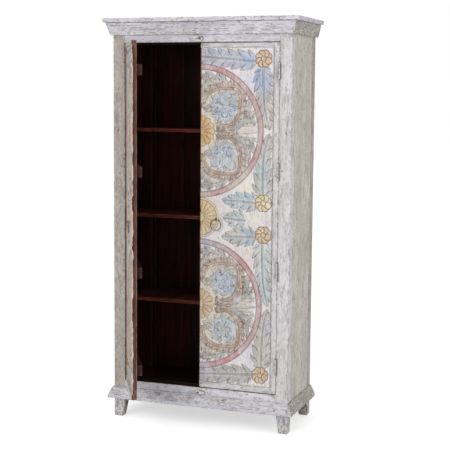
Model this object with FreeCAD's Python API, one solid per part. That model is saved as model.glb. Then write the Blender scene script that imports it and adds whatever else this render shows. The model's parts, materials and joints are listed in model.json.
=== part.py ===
import FreeCAD, Part
import math
import os

V = FreeCAD.Vector

# Two-door wardrobe cabinet of whitewashed wood. Millimetres, +Z up, floor at Z 0, front towards -Y.
# The left door is shown standing open, as it is at rest.

# Whole cabinet
cabinet_height = 1800.0
body_width = 829.0
body_depth = 356.0

# Corner posts, which run down into tapered feet
post_width = 54.0
post_depth = 50.0
foot_height = 86.0
foot_taper = 13.0
foot_chamfer = 3.0

# Mouldings: the overhangs are measured out from the body's faces
cornice_height = 55.0
cornice_top_overhang = 24.0
cornice_bottom_overhang = 10.5
cornice_fillet = 5.0
base_moulding_height = 53.0
base_moulding_bottom_overhang = 24.5
base_moulding_top_overhang = 8.8
base_moulding_toe = 14.0
base_moulding_fillet = 5.0
top_board_thickness = 18.0
top_board_overhang = 37.0

# Front rails: the height that shows between a moulding and the door opening
top_rail_show = 33.0
bottom_rail_show = 33.0

# Inner framing, boards and shelves
side_plank_thickness = 18.0
side_plank_count = 3
plank_joint = 0.4
framing_height = 50.0
framing_thickness = 22.0
back_board_thickness = 12.0
back_board_count = 5
floor_board_thickness = 15.0
floor_board_drop = 6.0
shelf_thickness = 15.0
shelf_setback = 5.0
shelf_clearance = 0.3
shelf_names = ("lower", "middle", "upper")
shelf_spacing_share = 0.2377
cleat_size = 20.0

# Door stops behind the front rails
stop_thickness = 14.0
stop_rise = 8.0
stop_seat = 30.0
stop_gap = 0.6

# Doors: a carved panel with plain strips on three sides, and ledges across the back
door_thickness = 24.0
door_side_gap = 2.6
door_end_gap = 2.3
meeting_lap = 8.0
meeting_gap = 1.2
lap_thickness = 11.0
door_stile_width = 23.0
door_top_strip = 20.0
door_bottom_strip = 27.0
ledge_height = 46.0
ledge_thickness = 24.0
ledge_hinge_inset = 20.0
ledge_meeting_inset = 22.0
hinge_height_shares = (0.080, 0.358, 0.640, 0.9205)
left_door_open_angle = 61.3

# Hinges: a barrel proud of the face, with one leaf on the post and one on the door's edge
hinge_length = 72.0
knuckle_diameter = 9.5
knuckle_gap = 0.4
hinge_pin_diameter = 5.0
hinge_running_clearance = 0.05
hinge_face_gap = 0.5
hinge_leaf_thickness = 1.0
hinge_leaf_width = 20.0
pin_head_diameter = 7.0
pin_head_height = 1.6
hinge_screw_diameter = 3.2
hinge_screw_head_diameter = 6.0
hinge_screw_length = 16.0
hinge_screw_spacing = 24.0
hinge_screw_rows = (13.0, 7.0, 13.0)

# Screws through the ledges
ledge_screw_diameter = 4.0
ledge_screw_head_diameter = 8.0
ledge_screw_head_height = 1.2
ledge_screw_length = 38.0
ledge_screw_inset = 30.0

# Turn buttons on the two front rails
button_thickness = 9.0
button_gap = 0.5
button_tip_share = 0.62
top_button_share = 0.40
top_button_reach = 50.0
bottom_button_share = 0.32
bottom_button_reach = 31.0
bottom_button_lift = 0.8
button_screw_diameter = 4.4
button_screw_clearance = 0.15
button_screw_head_diameter = 9.0
button_screw_head_height = 2.4
button_screw_head_gap = 0.3
button_screw_depth = 18.0

# Ring pulls: an eye driven into the door, with a ring hanging in it
ring_pull_inset = 78.0
ring_pull_height_share = 0.4985
ring_diameter = 52.0
ring_wire_diameter = 4.0
eye_wire_diameter = 3.0
eye_hole_diameter = 6.4
eye_stand_off = 7.0
eye_depth = 16.0
ring_seat_gap = 0.3

# Carving: two great rings, half flowers on the meeting edge and rosettes by the stile
carving_depth = 4.0
carving_face_setback = 0.4
great_ring_radius = 289.0
great_ring_band = 24.0
great_ring_height_shares = (0.2385, 0.756)
half_flower_radius = 68.0
middle_flower_radius = 88.0
middle_flower_height_share = 0.499
flower_rim_band = 9.0
flower_dish_depth = 1.6
rosette_radius = 36.0
rosette_inset = 47.0
rosette_height_shares = (0.034, 0.4548, 0.5432, 0.967)
rosette_petal_count = 8
rosette_petal_share = 0.42
rosette_centre_share = 0.30

# One overrun serves every cut
overrun = 5.0

# Worked out: the carcass
half_width = body_width / 2
opening_half = half_width - post_width
inner_half = half_width - side_plank_thickness
back_inner = body_depth - back_board_thickness
top_board_bottom = cabinet_height - top_board_thickness
cornice_bottom = top_board_bottom - cornice_height
base_moulding_top = foot_height + base_moulding_height
opening_top = cornice_bottom - top_rail_show
opening_bottom = base_moulding_top + bottom_rail_show
rail_thickness = door_thickness + stop_gap
floor_top = opening_bottom - floor_board_drop
floor_bottom = floor_top - floor_board_thickness
shelf_spacing = (top_board_bottom - floor_top) * shelf_spacing_share

# Worked out: the doors, whose local U runs from the hinge axis to the meeting edge
axis_half = opening_half - door_side_gap / 2
axis_front = -(knuckle_diameter / 2 + hinge_face_gap)
door_bottom = opening_bottom + door_end_gap
door_top = opening_top - door_end_gap
door_height = door_top - door_bottom
door_edge = door_side_gap / 2
long_end = axis_half + (meeting_lap - meeting_gap) / 2
short_end = axis_half - (meeting_lap + meeting_gap) / 2
field_start = door_edge + door_stile_width
field_bottom = door_bottom + door_bottom_strip
field_top = door_top - door_top_strip
field_height = field_top - field_bottom
hinge_heights = [door_bottom + share * door_height for share in hinge_height_shares]
ring_u = axis_half - ring_pull_inset
eye_height = door_bottom + ring_pull_height_share * door_height
ring_radius = (ring_diameter - ring_wire_diameter) / 2
ring_pivot_height = eye_height - (eye_hole_diameter - ring_wire_diameter) / 2 + ring_seat_gap

# Worked out: the turn buttons
top_button_radius = top_rail_show * top_button_share
top_button_height = opening_top + top_rail_show / 2
bottom_button_radius = bottom_rail_show * bottom_button_share
bottom_button_height = base_moulding_top + bottom_button_lift + bottom_button_radius

# Worked out: the shift that puts the middle of the whole depth, open door included, at Y 0
open_radians = math.radians(left_door_open_angle)
open_front = axis_front - long_end * math.sin(open_radians) - axis_front * math.cos(open_radians)
front_shift = -(open_front + body_depth) / 2

X_AXIS = V(1, 0, 0)
Y_AXIS = V(0, 1, 0)
Z_AXIS = V(0, 0, 1)


def box(x0, x1, y0, y1, z0, z1):
    return Part.makeBox(x1 - x0, y1 - y0, z1 - z0, V(x0, y0, z0))


def rod(diameter, start, direction, length):
    return Part.makeCylinder(diameter / 2, length, start, direction)


def prism(points, along):
    return Part.Face(Part.makePolygon(points + points[:1])).extrude(along)


def joined(shapes):
    whole = shapes[0]
    if len(shapes) > 1:
        whole = shapes[0].fuse(shapes[1:])
    return whole.removeSplitter()


def mirrored(shape):
    return shape.mirror(V(0, 0, 0), X_AXIS)


def both_sides(shape):
    return [shape, mirrored(shape)]


def save(name, shapes):
    """Writes one node, moved so that the whole depth is centred."""
    solids = [solid for shape in shapes for solid in shape.Solids]
    whole = solids[0] if len(solids) == 1 else Part.makeCompound(solids)
    whole = whole.copy()
    whole.translate(V(0, front_shift, 0))
    whole.exportStep("parts/" + name + ".step")


def save_pair(name, shape):
    """Writes a piece of the right side and its mirror image of the left side."""
    save(name + "_right", [shape])
    save(name + "_left", [mirrored(shape)])


# Carcass

def foot_ring(z, inner_x, inner_y, outer_inset):
    """One level of the front right foot: its two inner faces taper, its outer faces stay upright."""
    x1 = half_width - outer_inset
    y0 = outer_inset
    corners = [V(inner_x, y0, z), V(x1, y0, z), V(x1, inner_y, z), V(inner_x, inner_y, z)]
    return Part.makePolygon(corners + corners[:1])


def front_post():
    trunk = box(opening_half, half_width, 0, post_depth, foot_height, top_board_bottom)
    narrow_x = opening_half + foot_taper
    narrow_y = post_depth - foot_taper
    levels = [
        foot_ring(foot_height, opening_half, post_depth, 0),
        foot_ring(foot_chamfer, narrow_x, narrow_y, 0),
        foot_ring(0, narrow_x + foot_chamfer, narrow_y - foot_chamfer, foot_chamfer),
    ]
    return joined([trunk, Part.makeLoft(levels, True, True)])


def back_post(front):
    """The back post is the front one turned to face the back."""
    turned = front.mirror(V(0, body_depth / 2, 0), Y_AXIS)
    return turned


def hinge_screw_places(height):
    """Depth and height of each screw of one leaf."""
    rises = (-hinge_screw_spacing, 0, hinge_screw_spacing)
    return [(row, height + rise) for row, rise in zip(hinge_screw_rows, rises)]


def post_screw_holes():
    shanks = []
    for height in hinge_heights:
        for row, z in hinge_screw_places(height):
            shanks.append(rod(hinge_screw_diameter, V(opening_half, row, z), X_AXIS, hinge_screw_length))
    return shanks


def top_rail():
    rail = box(-opening_half, opening_half, 0, rail_thickness, opening_top, top_board_bottom)
    return rail.cut(button_screw_hole(top_button_height))


def bottom_rail():
    rail = box(-opening_half, opening_half, 0, rail_thickness, foot_height, opening_bottom)
    return rail.cut(button_screw_hole(bottom_button_height))


def side_rail(z_top):
    y0 = post_depth
    y1 = body_depth - post_depth
    return box(inner_half - framing_thickness, inner_half, y0, y1, z_top - framing_height, z_top)


def back_rail(z_top):
    y0 = back_inner - framing_thickness
    return box(-opening_half, opening_half, y0, back_inner, z_top - framing_height, z_top)


def side_planks():
    y0 = post_depth
    pitch = (body_depth - 2 * post_depth) / side_plank_count
    planks = []
    for n in range(side_plank_count):
        start = y0 + n * pitch + (plank_joint if n else 0)
        planks.append(box(inner_half, half_width, start, y0 + (n + 1) * pitch, foot_height, top_board_bottom))
    return planks


def back_boards():
    pitch = 2 * opening_half / back_board_count
    boards = []
    for n in range(back_board_count):
        start = -opening_half + n * pitch + (plank_joint if n else 0)
        end = -opening_half + (n + 1) * pitch
        boards.append(box(start, end, back_inner, body_depth, foot_height, top_board_bottom))
    return boards


def floor_board():
    wide = box(-inner_half, inner_half, post_depth, body_depth - post_depth, floor_bottom, floor_top)
    deep = box(-opening_half, opening_half, rail_thickness, back_inner, floor_bottom, floor_top)
    return joined([wide, deep])


def top_board():
    x = half_width + top_board_overhang
    return box(-x, x, -top_board_overhang, body_depth, top_board_bottom, cabinet_height)


def shelf(z_bottom):
    """A shelf notched round the two back posts."""
    x = inner_half - shelf_clearance
    board = box(-x, x, post_depth + shelf_setback, back_inner - shelf_clearance, z_bottom, z_bottom + shelf_thickness)
    notch_x = opening_half - shelf_clearance
    notch_y = body_depth - post_depth - shelf_clearance
    notch = box(notch_x, half_width, notch_y, body_depth, z_bottom - overrun, z_bottom + shelf_thickness + overrun)
    return board.cut(both_sides(notch))


def shelf_cleats(z_top):
    cleat = box(inner_half - cleat_size, inner_half, post_depth, body_depth - post_depth, z_top - cleat_size, z_top)
    return both_sides(cleat)


def door_stops():
    y1 = rail_thickness + stop_thickness
    upper = box(-opening_half, opening_half, rail_thickness, y1, opening_top - stop_rise, opening_top + stop_seat)
    lower = box(-opening_half, opening_half, rail_thickness, y1, floor_top, opening_bottom + stop_rise)
    return [upper, lower]


# Mouldings, mitred at the two front corners

def front_moulding(profile, reach):
    """Profile points are (overhang, height) pairs."""
    run = 2 * (half_width + reach)
    length = prism([V(-run / 2, -out, z) for out, z in profile], V(run, 0, 0))
    low = min(z for out, z in profile) - overrun
    high = max(z for out, z in profile) + overrun
    plan = [
        V(-half_width, 0, low),
        V(half_width, 0, low),
        V(half_width + reach, -reach, low),
        V(-half_width - reach, -reach, low),
    ]
    return length.common(prism(plan, V(0, 0, high - low)))


def side_moulding(profile, reach):
    length = prism([V(half_width + out, -reach, z) for out, z in profile], V(0, body_depth + reach, 0))
    low = min(z for out, z in profile) - overrun
    high = max(z for out, z in profile) + overrun
    plan = [
        V(half_width, 0, low),
        V(half_width + reach, -reach, low),
        V(half_width + reach, body_depth, low),
        V(half_width, body_depth, low),
    ]
    return length.common(prism(plan, V(0, 0, high - low)))


def cornice_profile():
    return [
        (0, cornice_bottom),
        (cornice_bottom_overhang, cornice_bottom),
        (cornice_bottom_overhang, cornice_bottom + cornice_fillet),
        (cornice_top_overhang, top_board_bottom - cornice_fillet),
        (cornice_top_overhang, top_board_bottom),
        (0, top_board_bottom),
    ]


def base_profile():
    return [
        (0, foot_height),
        (base_moulding_bottom_overhang, foot_height),
        (base_moulding_bottom_overhang, foot_height + base_moulding_toe),
        (base_moulding_top_overhang, base_moulding_top - base_moulding_fillet),
        (base_moulding_top_overhang / 2, base_moulding_top),
        (0, base_moulding_top),
    ]


# Hinges, drawn on the left side: U is measured from the hinge axis, towards the meeting edge

def at_u(u):
    return u - axis_half


def knuckle_spans():
    third = hinge_length / 3
    return [(n * third, (n + 1) * third - knuckle_gap) for n in range(3)]


def leaf(u0, height, spans, bore_diameter):
    """One leaf: a plate, and a knuckle with its neck for each span of the barrel."""
    z0 = height - hinge_length / 2
    x0 = at_u(u0)
    x1 = at_u(u0 + hinge_leaf_thickness)
    pieces = [box(x0, x1, 0, hinge_leaf_width, z0, z0 + hinge_length)]
    for low, high in spans:
        pieces.append(box(x0, x1, axis_front, 0, z0 + low, z0 + high))
        pieces.append(rod(knuckle_diameter, V(at_u(0), axis_front, z0 + low), Z_AXIS, high - low))
    bore = rod(bore_diameter, V(at_u(0), axis_front, z0 - overrun), Z_AXIS, hinge_length + 2 * overrun)
    return joined(pieces).cut(bore)


def head_holes(u0, height):
    heads = []
    for row, z in hinge_screw_places(height):
        heads.append(rod(hinge_screw_head_diameter, V(at_u(u0), row, z), X_AXIS, hinge_leaf_thickness))
    return heads


def frame_leaves():
    spans = knuckle_spans()
    u0 = -door_edge
    leaves = []
    for height in hinge_heights:
        plate = leaf(u0, height, [spans[0], spans[2]], hinge_pin_diameter)
        leaves.append(plate.cut(head_holes(u0, height)))
    return leaves


def door_leaves():
    spans = knuckle_spans()
    u0 = door_edge - hinge_leaf_thickness
    bore = hinge_pin_diameter + 2 * hinge_running_clearance
    leaves = []
    for height in hinge_heights:
        plate = leaf(u0, height, [spans[1]], bore)
        leaves.append(plate.cut(head_holes(u0, height)))
    return leaves


def hinge_pins():
    pins = []
    for height in hinge_heights:
        z0 = height - hinge_length / 2
        shaft = rod(hinge_pin_diameter, V(at_u(0), axis_front, z0), Z_AXIS, hinge_length)
        head = rod(pin_head_diameter, V(at_u(0), axis_front, z0 + hinge_length), Z_AXIS, pin_head_height)
        pins.append(joined([shaft, head]))
    return pins


def leaf_screws(u_outer, way):
    """Screws whose heads fill the leaf; way is 1 into the door and -1 into the post."""
    direction = V(way, 0, 0)
    screws = []
    for height in hinge_heights:
        for row, z in hinge_screw_places(height):
            start = V(at_u(u_outer), row, z)
            seat = start + direction * hinge_leaf_thickness
            head = rod(hinge_screw_head_diameter, start, direction, hinge_leaf_thickness)
            shank = rod(hinge_screw_diameter, seat, direction, hinge_screw_length)
            screws.append(joined([head, shank]))
    return screws


# Doors, drawn closed on the left side

def rebated_board(z0, z1, lip_y0, lip_y1):
    """A board from the stile to the meeting edge, with a lip that laps the other door."""
    body = box(at_u(field_start), at_u(short_end), 0, door_thickness, z0, z1)
    lip = box(at_u(short_end), at_u(long_end), lip_y0, lip_y1, z0, z1)
    return joined([body, lip])


def rosette(u, z, y0, y1):
    """Petals round a raised centre."""
    thickness = y1 - y0
    petal_diameter = 2 * rosette_radius * rosette_petal_share
    ring = rosette_radius - petal_diameter / 2
    pieces = [rod(2 * rosette_radius * rosette_centre_share, V(at_u(u), y0, z), Y_AXIS, thickness)]
    pieces.append(rod(2 * ring, V(at_u(u), y0, z), Y_AXIS, thickness))
    for n in range(rosette_petal_count):
        turn = 2 * math.pi * n / rosette_petal_count
        place = V(at_u(u) + ring * math.cos(turn), y0, z + ring * math.sin(turn))
        pieces.append(rod(petal_diameter, place, Y_AXIS, thickness))
    return joined(pieces)


def disc(radius, u, z, y0, y1):
    return rod(2 * radius, V(at_u(u), y0, z), Y_AXIS, y1 - y0)


def raised_carving(field_end):
    """The main raised forms, cut off at the edge of the carved field."""
    y0 = carving_face_setback
    y1 = carving_depth + overrun
    forms = []
    for share in great_ring_height_shares:
        z = field_bottom + share * field_height
        band = disc(great_ring_radius, axis_half, z, y0, y1)
        forms.append(band.cut(disc(great_ring_radius - great_ring_band, axis_half, z, y0 - overrun, y1 + overrun)))
        forms.append(disc(half_flower_radius, axis_half, z, y0, y1))
    z = field_bottom + middle_flower_height_share * field_height
    dish = disc(middle_flower_radius - flower_rim_band, axis_half, z, y0 - overrun, y0 + flower_dish_depth)
    forms.append(disc(middle_flower_radius, axis_half, z, y0, y1).cut(dish))
    for share in rosette_height_shares:
        forms.append(rosette(field_start + rosette_inset, field_bottom + share * field_height, y0, y1))
    field = box(at_u(field_start), at_u(field_end), 0, y1, field_bottom, field_top)
    return [form.common(field) for form in forms]


def carved_panel(lip_y0, lip_y1, face_end):
    board = rebated_board(field_bottom, field_top, lip_y0, lip_y1)
    hollow = box(at_u(field_start), at_u(face_end), 0, carving_depth, field_bottom, field_top)
    sunk = board.cut(hollow)
    carved = joined([sunk] + raised_carving(face_end))
    return carved.cut([eye_shank()] + ledge_screw_shanks())


def door_stile():
    board = box(at_u(door_edge), at_u(field_start), 0, door_thickness, door_bottom, door_top)
    shanks = []
    for height in hinge_heights:
        for row, z in hinge_screw_places(height):
            shanks.append(rod(hinge_screw_diameter, V(at_u(door_edge), row, z), X_AXIS, hinge_screw_length))
    return board.cut(shanks)


def ledges():
    u0 = field_start - door_stile_width + ledge_hinge_inset
    u1 = short_end - ledge_meeting_inset
    y1 = door_thickness + ledge_thickness
    boards = []
    for height in hinge_heights:
        z0 = height - ledge_height / 2
        board = box(at_u(u0), at_u(u1), door_thickness, y1, z0, z0 + ledge_height)
        boards.append(board.cut(ledge_screw_shanks()))
    return boards


def ledge_screw_places():
    u0 = field_start + ledge_screw_inset
    u1 = short_end - ledge_meeting_inset - ledge_screw_inset
    quarter = ledge_height / 4
    places = []
    for height in hinge_heights:
        places += [(u0, height + quarter), (u0, height - quarter), (u1, height + quarter), (u1, height - quarter)]
    return places


def ledge_screw_shanks():
    face = door_thickness + ledge_thickness
    start = face - ledge_screw_length
    shanks = []
    for u, z in ledge_screw_places():
        shanks.append(rod(ledge_screw_diameter, V(at_u(u), start, z), Y_AXIS, ledge_screw_length))
    return shanks


def ledge_screws():
    face = door_thickness + ledge_thickness
    screws = []
    for place, shank in zip(ledge_screw_places(), ledge_screw_shanks()):
        u, z = place
        head = rod(ledge_screw_head_diameter, V(at_u(u), face, z), Y_AXIS, ledge_screw_head_height)
        screws.append(joined([shank, head]))
    return screws


# Ring pulls, drawn on the left door

def eye_shank():
    start = eye_hole_diameter / 2 + eye_wire_diameter / 2 - eye_stand_off
    return rod(eye_wire_diameter, V(at_u(ring_u), start, eye_height), Y_AXIS, eye_depth - start)


def ring_eye():
    loop_radius = (eye_hole_diameter + eye_wire_diameter) / 2
    loop = Part.makeTorus(loop_radius, eye_wire_diameter / 2, V(at_u(ring_u), -eye_stand_off, eye_height), X_AXIS)
    return joined([loop, eye_shank()])


def pull_ring():
    centre = V(at_u(ring_u), -eye_stand_off, ring_pivot_height - ring_radius)
    return Part.makeTorus(ring_radius, ring_wire_diameter / 2, centre, Y_AXIS)


# Turn buttons: a round boss on the screw, tapering to a round tip

def button_screw_hole(height):
    return rod(button_screw_diameter, V(0, 0, height), Y_AXIS, button_screw_depth)


def turn_button(radius, reach, height, way):
    """The tip points to +X when way is 1 and to -X when way is -1."""
    tip_radius = radius * button_tip_share
    distance = reach - tip_radius
    lean = math.acos((radius - tip_radius) / distance)
    y = -button_gap

    def spot(centre, size, turn):
        x = centre + size * math.cos(turn)
        return V(way * x, y, height + size * math.sin(turn))

    boss_high = spot(0, radius, lean)
    boss_low = spot(0, radius, -lean)
    tip_high = spot(distance, tip_radius, lean)
    tip_low = spot(distance, tip_radius, -lean)
    outline = Part.Wire([
        Part.Arc(boss_high, spot(0, radius, math.pi), boss_low).toShape(),
        Part.LineSegment(boss_low, tip_low).toShape(),
        Part.Arc(tip_low, spot(distance, tip_radius, 0), tip_high).toShape(),
        Part.LineSegment(tip_high, boss_high).toShape(),
    ])
    block = Part.Face(outline).extrude(V(0, -button_thickness, 0))
    hole_diameter = button_screw_diameter + 2 * button_screw_clearance
    return block.cut(rod(hole_diameter, V(0, overrun, height), -Y_AXIS, button_thickness + 2 * overrun))


def button_screw(height):
    head_back = -(button_gap + button_thickness + button_screw_head_gap)
    shank = rod(button_screw_diameter, V(0, head_back, height), Y_AXIS, button_screw_depth - head_back)
    head = rod(button_screw_head_diameter, V(0, head_back, height), -Y_AXIS, button_screw_head_height)
    return joined([head, shank])


def opened(shape):
    """Swings a piece of the left door from closed to its place at rest."""
    turned = shape.copy()
    turned.rotate(V(at_u(0), axis_front, 0), Z_AXIS, -left_door_open_angle)
    return turned


def save_carcass():
    post = front_post()
    save_pair("post_front", post.cut(post_screw_holes()))
    save_pair("post_back", back_post(post))
    save("top_rail_front", [top_rail()])
    save("bottom_rail_front", [bottom_rail()])
    save_pair("side_rail_top", side_rail(top_board_bottom))
    save_pair("side_rail_bottom", side_rail(floor_bottom))
    save("back_rail_top", [back_rail(top_board_bottom)])
    save("back_rail_bottom", [back_rail(floor_bottom)])
    planks = Part.makeCompound(side_planks())
    save_pair("side_planks", planks)
    save("back_boards", back_boards())
    save("floor_board", [floor_board()])
    save("top_board", [top_board()])
    save("door_stops", door_stops())
    for n, name in enumerate(shelf_names):
        z_bottom = floor_top + (n + 1) * shelf_spacing - shelf_thickness
        save("shelf_" + name, [shelf(z_bottom)])
        save("shelf_cleats_" + name, shelf_cleats(z_bottom))


def save_mouldings():
    cornice = cornice_profile()
    save("cornice_front", [front_moulding(cornice, cornice_top_overhang)])
    save_pair("cornice", side_moulding(cornice, cornice_top_overhang))
    base = base_profile()
    save("base_moulding_front", [front_moulding(base, base_moulding_bottom_overhang)])
    save_pair("base_moulding", side_moulding(base, base_moulding_bottom_overhang))


def door_pieces(lip_y0, lip_y1, face_end):
    """Every piece that swings with a door, drawn closed on the left side."""
    return {
        "panel": [carved_panel(lip_y0, lip_y1, face_end)],
        "stile": [door_stile()],
        "top_strip": [rebated_board(field_top, door_top, lip_y0, lip_y1)],
        "bottom_strip": [rebated_board(door_bottom, field_bottom, lip_y0, lip_y1)],
        "ledges": ledges(),
        "ledge_screws": ledge_screws(),
        "hinge_leaves": door_leaves(),
        "leaf_screws": leaf_screws(door_edge - hinge_leaf_thickness, 1),
        "ring_eye": [ring_eye()],
        "pull_ring": [pull_ring()],
    }


def save_doors():
    left = door_pieces(0, lap_thickness, long_end)
    for name, shapes in left.items():
        save("left_door_" + name, [opened(shape) for shape in shapes])
    right = door_pieces(lap_thickness + meeting_gap, door_thickness, short_end)
    for name, shapes in right.items():
        save("right_door_" + name, [mirrored(shape) for shape in shapes])


def save_frame_hinges():
    pieces = {
        "frame_hinge_leaves": frame_leaves(),
        "frame_leaf_screws": leaf_screws(hinge_leaf_thickness - door_edge, -1),
        "hinge_pins": hinge_pins(),
    }
    for name, shapes in pieces.items():
        save(name + "_left", shapes)
        save(name + "_right", [mirrored(shape) for shape in shapes])


def save_buttons():
    save("top_turn_button", [turn_button(top_button_radius, top_button_reach, top_button_height, -1)])
    save("bottom_turn_button", [turn_button(bottom_button_radius, bottom_button_reach, bottom_button_height, 1)])
    save("top_button_screw", [button_screw(top_button_height)])
    save("bottom_button_screw", [button_screw(bottom_button_height)])


os.makedirs("parts", exist_ok=True)
save_carcass()
save_mouldings()
save_doors()
save_frame_hinges()
save_buttons()
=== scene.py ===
import json
import math

import bmesh
import bpy
import numpy as np
from mathutils import Matrix, Vector

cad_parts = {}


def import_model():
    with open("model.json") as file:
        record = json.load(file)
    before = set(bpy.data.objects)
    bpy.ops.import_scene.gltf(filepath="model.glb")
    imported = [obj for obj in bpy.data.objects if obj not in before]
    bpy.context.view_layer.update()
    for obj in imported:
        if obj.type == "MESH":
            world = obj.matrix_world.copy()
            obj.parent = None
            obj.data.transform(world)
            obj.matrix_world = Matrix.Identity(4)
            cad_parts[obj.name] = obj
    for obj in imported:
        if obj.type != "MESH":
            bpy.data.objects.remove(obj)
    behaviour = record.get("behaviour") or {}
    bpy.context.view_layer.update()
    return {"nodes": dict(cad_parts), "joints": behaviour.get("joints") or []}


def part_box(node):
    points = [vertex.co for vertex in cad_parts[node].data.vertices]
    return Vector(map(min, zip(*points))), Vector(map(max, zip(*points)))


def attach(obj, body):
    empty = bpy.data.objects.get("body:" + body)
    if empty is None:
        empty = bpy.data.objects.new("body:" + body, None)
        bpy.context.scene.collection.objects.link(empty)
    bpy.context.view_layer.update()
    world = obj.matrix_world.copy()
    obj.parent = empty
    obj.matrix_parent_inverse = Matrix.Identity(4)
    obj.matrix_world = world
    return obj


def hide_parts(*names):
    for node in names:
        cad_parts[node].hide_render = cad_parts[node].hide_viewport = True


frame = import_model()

# The looks of a two-door wardrobe cabinet of whitewashed wood with carved and painted doors.
# Metres, +Z up, floor at Z 0, front towards -Y. The carving alone is drawn in millimetres.

# Places taken from the frame
POST_LOW, POST_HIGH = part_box("post_front_right")
HALF_WIDTH = POST_HIGH.x
FRONT = POST_LOW.y
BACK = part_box("back_boards")[1].y
FOOT_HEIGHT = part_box("bottom_rail_front")[0].z
STILE_LOW, STILE_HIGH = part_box("right_door_stile")
PANEL_LOW, PANEL_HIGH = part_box("right_door_panel")
LEFT_HINGE = [joint for joint in frame["joints"] if joint["name"] == "left_door_hinge"][0]

# Wood: how finely boards are cut up along and across the grain, and how their edges are rounded and worn
LONG_STEP = 0.030
CROSS_STEP = 0.022
BOARD_ROUND = 0.0014
MOULDING_ROUND = 0.0016
BACK_BOARD_ROUND = 0.0028
POST_ROUND = 0.0010
STILE_ROUND = 0.0006
BOARD_WEAR = 0.0007
STILE_WEAR = 0.0003
IRON_WEAR = 0.00025
WEAR_SIZE = 0.045
WEAR_DETAIL = 2
ROUND_SEGMENTS = 2
CREASE_ANGLE = math.radians(25)
SMOOTH_ANGLE = math.radians(38)

# The ways a face can look, and how closely a face or an edge has to keep to a way to count
RIGHTWARD = (1, 0, 0)
LEFTWARD = (-1, 0, 0)
BACKWARD = (0, 1, 0)
UP = (0, 0, 1)
DOWN = (0, 0, -1)
FACING = 0.6
RUNNING = 0.8

# Stands for the distance from an edge where no edge is near
FAR = 1.0

# How far apart in their trees boards are cut
TREE_SPREAD = 20

# Boards side by side, and the play of the shelves' notches
BACK_BOARD_COUNT = 5
SIDE_PLANK_COUNT = 3
PLANK_LAP = 0.002
SHELF_CLEARANCE = 0.0003

# Feet
FOOT_TAPER = 0.013
FOOT_CHAMFER = 0.003

# Doors
MEETING_LAP = 0.008
OUTER_LIP = 0.011
LAP_GAP = 0.0012
LEFT_EDGE = PANEL_LOW.x
RIGHT_EDGE = PANEL_LOW.x + MEETING_LAP
# Paint has built up in the gap between a stile and its post, by this much on each side
GAP_PAINT = Vector((0.0008, 0, 0))

# Mouldings, as the frame's profiles: overhang and height above or below the piece's ends
CORNICE_BOTTOM_OVERHANG = 0.0105
CORNICE_FILLET = 0.005
BASE_TOP_OVERHANG = 0.0088
BASE_TOE = 0.014
BASE_FILLET = 0.005
PROFILE_STEP = 0.009

# Ring pulls, turn buttons and hinge pins
RING_WIRE = 0.004
EYE_WIRE = 0.003
BUTTON_TIP_SHARE = 0.62
BUTTON_ROUND = 0.0012
PIN_HEAD = 0.0032
PIN_END = 0.0024
PIN_SHARE = 0.7
PIN_ROUND = 0.0008

# Number of corners round a ring, its wire, a pin, and each round end of a button
RING_SIDES = 56
WIRE_SIDES = 14
PIN_SIDES = 20
BUTTON_CORNERS = 15

# Carving, in millimetres: the ground's depth, the lines cut round each form, and a distance off the field
MM = 0.001
CARVING_SETBACK = 0.4
CARVING_DEPTH = 3.6
GRID_STEP = 1.4
CARVED_TRIANGLES = 165000
LINE_WIDTH = 1.8
# A pale rim just outside each form's cut line, painted highlight: its distance from the line and its width
HIGHLIGHT_RIM_AWAY = 3.8
HIGHLIGHT_RIM_WIDTH = 1.9
EDGE_LIFT = 0.30
LINE_CUT = 0.16
# Dark lines along the field's edges, partly dirt and partly painted shadow: width and strength by the stile,
# then at the ends
SIDE_RIM_WIDTH = 4.2
SIDE_RIM_CUT = 0.9
END_RIM_WIDTH = 2.0
END_RIM_CUT = 0.3
OUT_OF_REACH = 1000.0
TOOTH_TINTS = 60
GROUND_LEVEL = 0.04
GROUND_COVER = 0.5
CREST_START = 0.72

# Light and camera
FLOOR_SIZE = 60
FLOOR_TINT = (240, 240, 240)
ROOM_LIGHT = 0.55
FLOOR_GLOW = 0.55
LAMP_SIZE = 3.2
LAMPS = (("key", (-1.5, -4.4, 2.3), 90), ("fill", (3.8, -1.8, 1.7), 46))
LAMP_TARGET = Vector((0, 0, 0.8))
CAMERA_PLACE = (1.7940, -4.6191, 1.4758)
CAMERA_YAW = math.radians(20.0)
CAMERA_PITCH = math.radians(6.63)
CAMERA_ROLL = math.radians(0.46)
CAMERA_LENS = 90.59
SENSOR_WIDTH = 36.0

GRAIN_SEED = 11
draws = np.random.default_rng(GRAIN_SEED)


def colour(red, green, blue):
    """Linear colour of a finish named by its screen values from 0 to 255."""
    linear = []
    for value in (red, green, blue):
        level = value / 255
        linear.append(level / 12.92 if level <= 0.04045 else ((level + 0.055) / 1.055) ** 2.4)
    return (*linear, 1)


def colours(**tints):
    """Screen colours by the names of the sockets that take them."""
    return {name.capitalize(): colour(*tint) for name, tint in tints.items()}


# Shader nodes

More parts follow.
